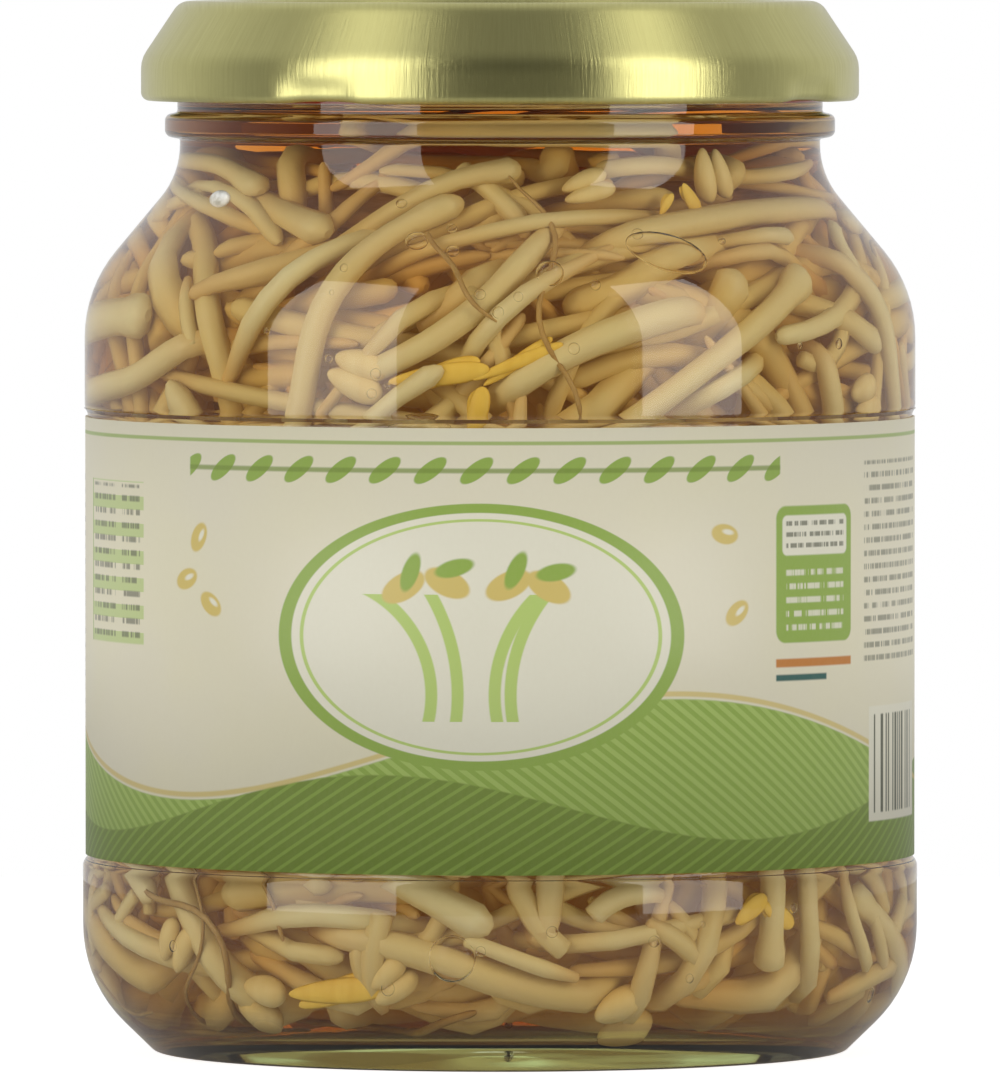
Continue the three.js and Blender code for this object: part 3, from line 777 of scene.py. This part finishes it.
def stalks(name, sprouts, sides, flesh, tree):
    """One plain mesh of stalks, made by the tree from their lines."""
    lines = path_mesh(name + "_lines", sprouts)
    modifier = lines.modifiers.new("stalks", "NODES")
    modifier.node_group = tree
    sockets = {item.name: item.identifier for item in tree.interface.items_tree if item.in_out == "INPUT"}
    modifier[sockets["Sides"]] = sides
    modifier[sockets["Flesh"]] = flesh
    graph = bpy.context.evaluated_depsgraph_get()
    mesh = bpy.data.meshes.new_from_object(lines.evaluated_get(graph), depsgraph=graph)
    mesh.name = name
    lines.modifiers.remove(modifier)
    bpy.data.objects.remove(lines)
    piece = bpy.data.objects.new(name, mesh)
    bpy.context.scene.collection.objects.link(piece)
    return piece


def make_core(flesh):
    points, faces, _ = lathe(spaced(outline(shrunk(heap_corners(), CORE_IN), 9.0), 4.0), CORE_SIDES)
    return mesh_object("heap_core", points, faces, [flesh])


def shrunk(corners, distance):
    at = np.array([c[:2] for c in corners], float)
    ways = at[1:] - at[:-1]
    left = np.stack([-ways[:, 1], ways[:, 0]], 1) / np.linalg.norm(ways, axis=1)[:, None]
    out = []
    for i, corner in enumerate(at):
        after = left[min(i, len(left) - 1)]
        before = left[i - 1] if i > 0 else after
        move = (before + after) * distance / (1 + before @ after)
        out.append((0 if corner[0] == 0 else corner[0] + move[0], corner[1] + move[1]))
    return out


# Small things by the photograph

def by_pixel(x, y, depth):
    """The place inside the glass that shows at a pixel of the photograph, with the ways right and out."""
    z = (FOOT_PIXEL - y) * MM_A_PIXEL
    inside = glass_inside(BRINE_LEVEL)
    wall = float(np.interp(z, inside[:, 1], inside[:, 0]))
    angle = math.asin(max(-1, min(1, (x - AXIS_PIXEL) * MM_A_PIXEL / (wall + WALL)))) * BENDS_LIGHT
    out = np.array([math.sin(angle), -math.cos(angle), 0])
    return out * (wall - depth) + [0, 0, z], np.array([math.cos(angle), math.sin(angle), 0]), out


def pod(x, y, depth, size, tilt, rows=10, sides=16, pinch=0.0):
    """Points and faces of a rounded body: size is its length, width and thickness."""
    centre, right, out = by_pixel(x, y, depth)
    up = np.array([0, 0, 1.0])
    a = math.radians(tilt)
    long_way, short_way = right * math.cos(a) + up * math.sin(a), up * math.cos(a) - right * math.sin(a)
    points = [centre - long_way * size[0] / 2]
    for i in range(1, rows):
        s = math.pi * i / rows
        ring_r = math.sin(s) * (1 - pinch * math.cos(s))
        for k in range(sides):
            b = TAU * k / sides
            points.append(centre - long_way * math.cos(s) * size[0] / 2 + ring_r * (
                short_way * math.cos(b) * size[1] / 2 - out * math.sin(b) * size[2] / 2))
    points.append(centre + long_way * size[0] / 2)
    faces = []
    last = len(points) - 1
    for k in range(sides):
        j = (k + 1) % sides
        faces.append((0, 1 + j, 1 + k))
        faces.append((last, last - sides + k, last - sides + j))
        for i in range(rows - 2):
            a0 = 1 + i * sides
            faces.append((a0 + k, a0 + j, a0 + sides + j, a0 + sides + k))
    return np.array(points), faces


def joined(name, parts, materials, slots=None):
    points, faces, at, index = [], [], 0, []
    for n, (p, f) in enumerate(parts):
        points.append(p)
        faces += [tuple(v + at for v in face) for face in f]
        index += [0 if slots is None else slots[n]] * len(f)
        at += len(p)
    piece = mesh_object(name, np.concatenate(points), faces, materials, index)
    return outwards(piece)


def outwards(piece):
    work = bmesh.new()
    work.from_mesh(piece.data)
    bmesh.ops.recalc_face_normals(work, faces=work.faces)
    work.to_mesh(piece.data)
    work.free()
    return piece


def make_bubbles(materials):
    """The bubbles that the photograph shows, and tiny ones strewn above and below the label."""
    seen = list(BUBBLES_SEEN)
    rng = np.random.default_rng(BUBBLE_SEED)
    for _ in range(TINY_BUBBLES):
        size = rng.uniform(0.5, 1.3)
        across = rng.uniform(*TINY_BUBBLES_ACROSS)
        down = rng.choice([rng.uniform(*band) for band in TINY_BUBBLES_DOWN])
        seen.append((across, down, size, size, 0))
    parts = [pod(x, y, 0.25 + w * 0.26, (l, w, w * 0.5), tilt, 12, 20) for x, y, l, w, tilt in seen]
    return joined("air_bubbles", parts, materials, [1] + [0] * (len(parts) - 1))


def make_leaves(yellow, pale):
    """Yellow first leaves, two and two, and seed halves with the split between them."""
    parts, kinds = [], []
    for x, y, l, w, tilt in LEAVES_SEEN:
        for turn, share in ((0, 1.0), (13, 0.86)):
            parts.append(pod(x, y, 1.5 + turn * 0.02, (l * share, w * 0.8, 0.7), tilt + turn, 12, 10, 0.25))
            kinds.append(0)
    for x, y, l, w, tilt in SEEDS_SEEN:
        a, apart = math.radians(tilt), 0.22 * w / MM_A_PIXEL
        for side, share in ((-1, 0.92), (1, 0.84)):
            parts.append(pod(x - side * apart * math.sin(a), y - side * apart * math.cos(a), 1.8,
                             (l * share, w * 0.62, 2.2), tilt + side * 4, 12, 12, 0.2))
            kinds.append(1)
    return joined("leaves_and_seed_halves", parts, [yellow, pale], kinds)


def fine_roots(skin, count, seed):
    """Thin brown roots that lie against the glass."""
    rng = np.random.default_rng(seed)
    start = skin.by_area(rng.uniform(0.05, 0.9, count), rng.uniform(0, TAU, count))
    places, ways = walk(
        skin, start, rng.uniform(0, TAU, count),
        swaying(rng.normal(0, 0.03, count), 0.16, 9, rng.uniform(0, TAU, count)),
        rng.uniform(12, 42, count), 16)
    found = []
    for i in range(count):
        depth = 0.7 + 0.5 * np.sin(np.linspace(0, 5, 17) + i)
        found.append({"rows": places[i] + ways[i] * (depth + 0.25)[:, None], "r": rng.uniform(0.2, 0.42),
                      "headed": False, "i": ROOTS_FROM + i})
    return found


# Lid and seal

def lug_press(angles):
    """How strongly the skirt is pressed in at each angle, by the four lugs."""
    away = (np.degrees(angles) - FIRST_LEAD + 45) % 90 - 45
    return np.exp(-(away / (LUG_HALF_ARC * 0.95)) ** 4)


def make_lid(lacquer):
    skirt_in, button_z = LID_R - PLATE, PANEL_Z - 0.3
    under = outline([
        (0, button_z - PLATE), (BUTTON_R, button_z - PLATE, 0.4), (BUTTON_R + 0.8, PANEL_Z - PLATE, 0.4),
        (PANEL_R, PANEL_Z - PLATE, 0.5), (PANEL_R + 1.2, LID_TOP_Z - PLATE, 0.4),
        (LID_TOP_R - 0.5, LID_TOP_Z - PLATE, 1.4), (skirt_in, LID_CONE_Z, 2.8),
        (skirt_in, CURL_Z + CURL_R - 0.1, 0.1),
        (LID_R - 2 * CURL_R, CURL_Z + CURL_R - 0.1, 0.5), (LID_R - 2 * CURL_R, CURL_Z - CURL_R, 0.8),
        (LID_R, CURL_Z - CURL_R, 0.8), (LID_R, LID_CONE_Z, 3.0), (LID_TOP_R, LID_TOP_Z, 1.8),
        (PANEL_R + 1.2, LID_TOP_Z, 0.4), (PANEL_R + 0.2, PANEL_Z, 0.5), (BUTTON_R + 0.8, PANEL_Z, 0.4),
        (BUTTON_R, button_z, 0.4), (0, button_z),
    ], 10.0)
    rows = spaced(under, 0.45)

    def shape(k, r, z, angles):
        press = lug_press(angles)
        rr, zz = np.full(len(angles), float(r)), np.full(len(angles), float(z))
        low = 1 - ramp(z, 92.4, 94.6)
        if r > 32.2 and z < 95.4:
            inner = 1 - ramp(r, LID_R - 1.7, LID_R - 0.3)
            pull = low * ((LID_R - 2 * CURL_R - LUG_INNER_R) * inner + 0.38 * (1 - inner))
            rr = rr - press * pull
            zz = zz + press * low * 0.22
        if 11 < r < 24.5:
            zz = zz - 0.1 * (1 - np.cos(TAU * (r - 11) / 4.5)) / 2 * (z > 99)
        return rr, zz

    points, faces, _ = lathe(rows, LID_SIDES, shape)
    return mesh_object("lid_shell", points, faces, [lacquer])


def make_seal(compound):
    (inner, outer), (low, high) = SEAL_R, SEAL_Z
    rows = outline([(28.9, low), (outer, low, 0.25), (outer, high, 0.3), (inner, high, 0.3),
                    (inner, low, 0.25), (28.9, low)], 15.0)[:-1]
    points, faces, _ = lathe(rows, SEAL_SIDES, None, True)
    return mesh_object("seal_ring", points, faces, [compound])


# Label

def make_label(paper):
    """The paper strip wound round the jar, with its own sheet coordinates."""
    turns, count = LABEL_TURNS, LABEL_TURNS + LABEL_LAP
    low, high = LABEL_Z
    points, faces, sheet = [], [], []
    for k in range(count + 1):
        angle = math.radians(90 + k * 360 / turns)
        rise = (LABEL_PAPER + 0.06) * float(ramp(k, turns - 3, turns + 1))
        for r in (LABEL_R, LABEL_R + LABEL_PAPER):
            for z in (low, high):
                points.append(((r + rise) * math.cos(angle), (r + rise) * math.sin(angle), z))
                sheet.append((k / turns, (z - low) / (high - low)))
    for k in range(count):
        a, b = 4 * k, 4 * (k + 1)
        faces += [(a + 2, b + 2, b + 3, a + 3), (a, a + 1, b + 1, b),
                  (a + 1, a + 3, b + 3, b + 1), (a, b, b + 2, a + 2)]
    faces += [(0, 2, 3, 1), (4 * count, 4 * count + 1, 4 * count + 3, 4 * count + 2)]
    piece = mesh_object("paper_label", points, faces, [paper], None, True)
    layer = piece.data.uv_layers.new(name="label_sheet")
    for loop in piece.data.loops:
        layer.data[loop.index].uv = sheet[loop.vertex_index]
    for polygon in piece.data.polygons:
        polygon.use_smooth = polygon.index % 4 < 2
    return outwards(piece)


class Sheet(Net):
    """The label's print: masks painted one over another, in millimetres from the middle of the front and from
    the lower edge."""

    def __init__(self, name):
        super().__init__(name)
        u, v, _ = self.split(self.node("ShaderNodeUVMap", uv_map="label_sheet").outputs[0])
        self.x = self.math("MULTIPLY", self.math("SUBTRACT", u, 0.5), SHEET_LENGTH)
        self.y = self.math("MULTIPLY", v, LABEL_Z[1] - LABEL_Z[0])

    def under(self, value, level, soft):
        """1 below the level, 0 above it."""
        return self.math("SUBTRACT", 1.0, self.step(value, level - soft, level + soft))

    def inside(self, value, low, high, soft=EDGE):
        return self.math("MULTIPLY", self.step(value, low - soft, low + soft), self.under(value, high, soft))

    def both(self, *masks):
        total = masks[0]
        for mask in masks[1:]:
            total = self.math("MULTIPLY", total, mask)
        return total

    def along(self, x_share, y_share):
        """The sum of shares of x and y, for slanting stripes."""
        shares = self.math("MULTIPLY", self.x, x_share), self.math("MULTIPLY", self.y, y_share)
        return self.math("ADD", *shares)

    def wave(self, middle, height, shift, bend):
        swing = self.math("SINE", self.math("MULTIPLY", self.math("ADD", self.x, shift), bend))
        return self.math("ADD", middle, self.math("MULTIPLY", height, swing))

    def block(self, x0, x1, y0, y1, corner=0.0):
        if not corner:
            return self.both(self.inside(self.x, x0, x1), self.inside(self.y, y0, y1))
        beyond = []
        for at, low, high in ((self.x, x0, x1), (self.y, y0, y1)):
            off = self.math("ABSOLUTE", self.math("SUBTRACT", at, (low + high) / 2))
            beyond.append(self.math("MAXIMUM", self.math("SUBTRACT", off, (high - low) / 2 - corner), 0.0))
        return self.under(self.length(*beyond), corner, EDGE)

    def length(self, a, b):
        return self.math("SQRT", self.math("ADD", self.math("MULTIPLY", a, a), self.math("MULTIPLY", b, b)))

    def turned(self, dx, dy, rx, ry, c, s):
        """How far off an oval's middle, measured by its own half sizes."""
        across = self.math("ADD", self.math("MULTIPLY", dx, c), self.math("MULTIPLY", dy, s))
        upward = self.math("SUBTRACT", self.math("MULTIPLY", dy, c), self.math("MULTIPLY", dx, s))
        return self.length(self.math("DIVIDE", across, rx), self.math("DIVIDE", upward, ry))

    def oval_distance(self, cx, cy, rx, ry, tilt=0.0):
        a = math.radians(tilt)
        return self.turned(self.math("SUBTRACT", self.x, cx), self.math("SUBTRACT", self.y, cy), rx, ry,
                           math.cos(a), math.sin(a))

    def oval(self, cx, cy, rx, ry, tilt=0.0):
        return self.under(self.oval_distance(cx, cy, rx, ry, tilt), 1, EDGE / min(rx, ry))

    def stem(self, cx, cy, r, width):
        """A band along a circle."""
        off = self.math("SUBTRACT", self.oval_distance(cx, cy, 1.0, 1.0), r)
        return self.under(self.math("ABSOLUTE", off), width / 2, 0.1)

    def stripes(self, value, pitch, share):
        return self.math("GREATER_THAN", share, self.math("FRACT", self.math("DIVIDE", value, pitch)))

    def small_print(self, x0, x1, y0, y1, pitch, seed):
        """Rows of uneven dashes, which read as print from afar."""
        rows = self.math("DIVIDE", self.math("SUBTRACT", self.y, y0), pitch)
        in_row = self.inside(self.math("FRACT", rows), 0.3, 0.72, 0.08)
        row = self.math("MULTIPLY", self.math("FLOOR", rows), 17.3)
        dashes = self.noise(self.join(self.x, row, seed), 1.9, 3.0, 0.8)
        return self.both(in_row, self.step(dashes, 0.44, 0.5), self.block(x0, x1, y0, y1))

    def paint(self, mask, colour, strength=1.0):
        self.colour = self.mix(self.both(mask, strength) if strength != 1.0 else mask, self.colour, colour)


def printed_paper():
    """Cream paper with a plain design: a green hill, a sprig on an oval plate, tables and small print."""
    net = Sheet("label_paper")
    x, y = net.x, net.y
    cream, ink, deep = (0.80, 0.76, 0.60), (0.12, 0.13, 0.09), (0.20, 0.30, 0.045)
    leaf, bright, pale, straw = (0.30, 0.45, 0.08), (0.50, 0.66, 0.19), (0.84, 0.82, 0.68), (0.70, 0.55, 0.17)
    blotch = net.step(net.noise(net.join(x, y, 0.0), 0.06, 2.0), 0.35, 0.65)
    net.colour = net.mix(blotch, cream, (0.81, 0.77, 0.58))

    # rolling field along the foot of the label
    hill, near_hill = net.wave(11.5, 5.0, 9.0, 0.062), net.wave(6.2, 3.2, 30.0, 0.085)
    over_hill = net.math("SUBTRACT", y, hill)
    field, near_field = net.under(over_hill, 0, EDGE), net.under(net.math("SUBTRACT", y, near_hill), 0, EDGE)
    net.paint(field, leaf)
    net.paint(net.both(field, net.stripes(net.along(1, 1.3), 1.5, 0.5)), bright, 0.55)
    net.paint(near_field, deep)
    net.paint(net.both(near_field, net.stripes(net.along(1, -1.6), 1.9, 0.32)), leaf, 0.8)
    net.paint(net.inside(over_hill, 0.25, 0.75), straw, 0.8)

    # oval plate with a sprig
    plate = net.oval_distance(-2.0, 22.5, 20.0, 12.6)
    net.paint(net.under(plate, 1.0, 0.005), leaf)
    net.paint(net.under(plate, 0.93, 0.005), pale)
    net.paint(net.inside(plate, 0.865, 0.885, 0.004), bright)
    under_heads = net.both(net.math("GREATER_THAN", y, 14.5), net.math("LESS_THAN", y, 26.5))
    keep = net.both(under_heads, net.inside(x, -15.5, 11.5))
    for cx, r in ((-17.5, 11.0), (12.5, 13.0), (-23.0, 19.0), (16.0, 15.0)):
        net.paint(net.both(net.stem(cx, 17.0, r, 1.15), keep), bright)
    for cx, cy, tilt in ((-9.2, 27.2, 30), (-5.0, 27.6, -25), (0.8, 27.4, 25), (4.6, 27.2, -30)):
        net.paint(net.oval(cx, cy, 2.3, 1.25, tilt), straw)
        net.paint(net.oval(cx + 0.7, cy + 1.4, 1.9, 0.8, tilt + 40), leaf)

    # garland of leaves over the plate
    cell = net.math("MULTIPLY", net.math("SUBTRACT", net.math("FRACT", net.math("DIVIDE", x, 4.4)), 0.5), 4.4)
    petal = net.turned(cell, net.math("SUBTRACT", y, 38.2), 1.9, 0.75, 0.8, 0.6)
    above_plate = net.inside(x, -33, 29)
    net.paint(net.both(net.under(net.math("MULTIPLY", petal, petal), 0.975, 0.125), above_plate), leaf)
    net.paint(net.both(net.inside(y, 37.95, 38.4), above_plate), deep, 0.8)

    # side panels, bars and small print
    table = net.block(-54.0, -40.5, 21.0, 36.5)
    bars = net.noise(net.join(net.math("FLOOR", net.math("MULTIPLY", x, 3.2)), 0.0, 4.0), 7.31, 0.0)
    net.paint(net.block(28.5, 39.5, 21.5, 34.5, 1.2), leaf)
    net.paint(net.block(29.3, 38.7, 29.8, 33.6, 0.6), pale)
    net.paint(net.both(table, net.stripes(y, 2.6, 0.5)), (0.56, 0.66, 0.30))
    net.paint(net.both(table, net.inside(x, -54, -53.7, 0.05)), leaf)
    net.paint(net.block(43.0, 57.5, 4.0, 15.0), pale)
    net.paint(net.both(net.block(44.0, 56.5, 4.8, 14.2), net.math("GREATER_THAN", bars, 0.5)), ink)
    net.paint(net.block(92.0, 114.0, 8.0, 34.0, 2.0), leaf, 0.9)
    for x0, x1, y0, y1, pitch, seed, tint, strength in (
            (29.8, 38.2, 30.2, 33.4, 1.05, 2.0, ink, 0.8), (29.8, 38.2, 22.3, 29.0, 1.3, 5.0, pale, 0.85),
            (-53.2, -46.5, 21.2, 36.2, 1.3, 9.0, ink, 0.75),
            (-45.0, -41.2, 21.2, 36.2, 1.3, 12.0, ink, 0.75),
            (42.0, 58.0, 19.0, 38.5, 1.25, 20.0, ink, 0.7), (62.0, 86.0, 8.0, 36.0, 1.35, 24.0, ink, 0.65),
            (-86.0, -60.0, 6.0, 37.0, 1.35, 28.0, ink, 0.65),
            (94.0, 112.0, 10.0, 32.0, 1.6, 31.0, pale, 0.9)):
        net.paint(net.small_print(x0, x1, y0, y1, pitch, seed), tint, strength)

    # beans and rules
    for cx, cy, tilt in ((-33.5, 27.5, 20), (-30.2, 25.2, -35), (23.8, 24.5, 40), (22.4, 32.0, -10),
                         (-31.8, 31.5, 60)):
        net.paint(net.oval(cx, cy, 1.5, 0.95, tilt), straw)
        net.paint(net.oval(cx + 0.35, cy + 0.2, 0.6, 0.25, tilt), pale)
    net.paint(net.block(28.5, 39.5, 19.2, 20.0), (0.58, 0.22, 0.04))
    net.paint(net.block(28.5, 35.5, 17.9, 18.5), (0.02, 0.12, 0.11))
    net.paint(net.inside(y, 40.6, 40.95, 0.08), leaf, 0.8)
    fibre = net.noise(net.scaled(net.object_place(), (2600.0, 2600.0, 1500.0)), 1.0, 3.0, 0.6)
    colour = net.mix(net.math("MULTIPLY", fibre, 0.10), net.colour, (0.62, 0.55, 0.38))
    return net.finish(net.principled(Base_Color=colour, Roughness=0.38, Specular_IOR_Level=0.42,
                                     Normal=net.bump(fibre, 0.00003, 0.4)))


# Stage

def make_floor():
    """A round white table top. It glows a little for what looks at it, so that it is as white as the room."""
    net = Net("floor_white")
    path = net.node("ShaderNodeLightPath").outputs
    seen = net.math("MAXIMUM", path["Is Camera Ray"], path["Is Transmission Ray"])
    glow = net.math("MULTIPLY_ADD", seen, FLOOR_GLOW_SEEN, FLOOR_GLOW)
    white = net.finish(net.principled(Base_Color=(0.6, 0.6, 0.6), Roughness=0.9, Specular_IOR_Level=0.0,
                                      Emission_Color=(1.0, 1.0, 1.0), Emission_Strength=glow))
    edge = np.arange(TABLE_SIDES) * TAU / TABLE_SIDES
    points = np.stack([TABLE_R * np.cos(edge), TABLE_R * np.sin(edge), 0 * edge], 1)
    floor = mesh_object("floor", points, [range(TABLE_SIDES)], [white], None, False)


def make_softboxes():
    for name, azimuth, width, glow in (("softbox_left", -47, 0.69, 2.6), ("softbox_right", 54, 0.54, 2.9)):
        light = bpy.data.lights.new(name, "AREA")
        light.shape = "RECTANGLE"
        light.size, light.size_y = width, SOFTBOX_TALL
        light.energy = glow * math.pi * width * SOFTBOX_TALL
        light.color = (1.0, 0.985, 0.95)
        lamp = bpy.data.objects.new(name, light)
        a = math.radians(azimuth)
        lamp.location = (math.sin(a), -math.cos(a), SOFTBOX_TALL / 2 - SOFTBOX_DROP)
        lamp.rotation_euler = (math.pi / 2, 0, a)
        lamp.visible_camera = False
        bpy.context.scene.collection.objects.link(lamp)


def make_room():
    """White where it is seen. In reflections it is dim in front, bright at the back and lit from above."""
    world = bpy.data.worlds.new("studio")
    bpy.context.scene.world = world
    world.use_nodes = True
    tree = world.node_tree
    tree.nodes.clear()
    output, path, room, backdrop, place, parts, ahead, upward, total, seen, choose = (
        tree.nodes.new("ShaderNode" + kind) for kind in (
            "OutputWorld", "LightPath", "Background", "Background", "TexCoord", "SeparateXYZ", "MapRange",
            "MapRange", "Math", "Math", "MixShader"))
    for node, values in ((ahead, (-0.45, 0.55, 0.07, 0.85)), (upward, (0.35, 1.0, 0.0, 0.18))):
        for index, value in enumerate(values, 1):
            node.inputs[index].default_value = value
    total.operation, seen.operation = "ADD", "MAXIMUM"
    backdrop.inputs["Strength"].default_value = BACKDROP
    for source, out, target, into in (
            (place, "Generated", parts, 0), (parts, "Y", ahead, 0), (parts, "Z", upward, 0),
            (ahead, 0, total, 0), (upward, 0, total, 1), (total, 0, room, "Strength"),
            (path, "Is Camera Ray", seen, 0), (path, "Is Transmission Ray", seen, 1),
            (seen, 0, choose, 0), (room, 0, choose, 1),
            (backdrop, 0, choose, 2), (choose, 0, output, "Surface")):
        tree.links.new(source.outputs[out], target.inputs[into])


def make_camera():
    scene = bpy.context.scene
    camera = bpy.data.objects.new("camera", bpy.data.cameras.new("camera"))
    scene.collection.objects.link(camera)
    scene.camera = camera
    camera.location = (0, -CAMERA_AWAY, CAMERA_Z)
    camera.rotation_euler = (math.pi / 2 - math.atan((CAMERA_Z - AIM_Z) / CAMERA_AWAY), 0, 0)
    camera.data.lens = SENSOR * math.hypot(CAMERA_AWAY, CAMERA_Z - AIM_Z) / FRAME_TALL
    camera.data.clip_end = 100
    scene.view_settings.view_transform = "Standard"
    cycles = scene.cycles
    cycles.max_bounces, cycles.transmission_bounces, cycles.transparent_max_bounces = 8, 7, 6
    cycles.diffuse_bounces, cycles.glossy_bounces = 2, 6
    cycles.caustics_refractive = cycles.caustics_reflective = False
    cycles.use_denoising = True


# The jar put together

def make_jar():
    """Every piece with its body, its slot and the node that it stands in for."""
    skin, tree = Skin(), stalk_tree()
    flesh = sprout_flesh()
    main = lines_of(skin, main_sprouts(skin), 26)
    more = lines_of(skin, more_sprouts(skin, main, MORE_SPROUTS, MORE_SEED), 18)
    half = len(more) // 2
    deep = lines_of(skin, deep_sprouts(skin, DEEP_SPROUTS, DEEP_SEED), 12)
    roots = lines_of(skin, fine_roots(skin, ROOTS, ROOT_SEED), 22)
    bits = lines_of(skin, scraps(skin, SCRAPS, SCRAP_SEED), 12)
    root_brown = leaf_flesh("root_brown", (0.50, 0.32, 0.10), (0.30, 0.16, 0.04))
    yellow = leaf_flesh("yellow_leaf", (0.86, 0.62, 0.12), (0.70, 0.42, 0.05))
    seed_half = leaf_flesh("seed_half", (0.78, 0.62, 0.28), (0.66, 0.46, 0.16))
    walls, surface = brine_liquid("brine_walls", BRINE_WALL_IOR), brine_liquid("brine_surface", BRINE_TOP_IOR)
    for piece, slot, node in (
            (make_glass(clear_glass(), wetted_glass()), "clear_glass", "jar_glass"),
            (make_brine(walls, surface), "brine", "brine"),
            (stalks("sprouts_laid_first", main, 8, flesh, tree), "sprout_flesh", "sprouts"),
            (stalks("sprouts_laid_second", more[:half], 7, flesh, tree), "sprout_flesh", None),
            (stalks("sprouts_laid_third", more[half:], 7, flesh, tree), "sprout_flesh", None),
            (stalks("sprout_scraps", bits, 6, flesh, tree), "sprout_flesh", None),
            (stalks("sprouts_deep", deep, 6, flesh, tree), "sprout_flesh", None),
            (stalks("fine_roots", roots, 5, root_brown, tree), "sprout_flesh", None),
            (make_core(heap_core()), "sprout_flesh", None),
            (make_leaves(yellow, seed_half), "sprout_flesh", None),
            (make_bubbles([air_bubble(), painted_reflection_bubble()]), "brine", None),
            (make_label(printed_paper()), "label_paper", "label")):
        piece.visible_shadow = piece.visible_diffuse = piece.name not in CAST_NO_SHADOW
        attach(piece, "jar")
        if node:
            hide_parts(node)
    lid = make_lid(gold_lacquer())
    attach(lid, "lid")
    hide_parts("lid")
    seal = make_seal(seal_compound())
    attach(seal, "seal")
    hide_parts("lid_seal")


make_floor()
make_softboxes()
make_room()
make_camera()
make_jar()
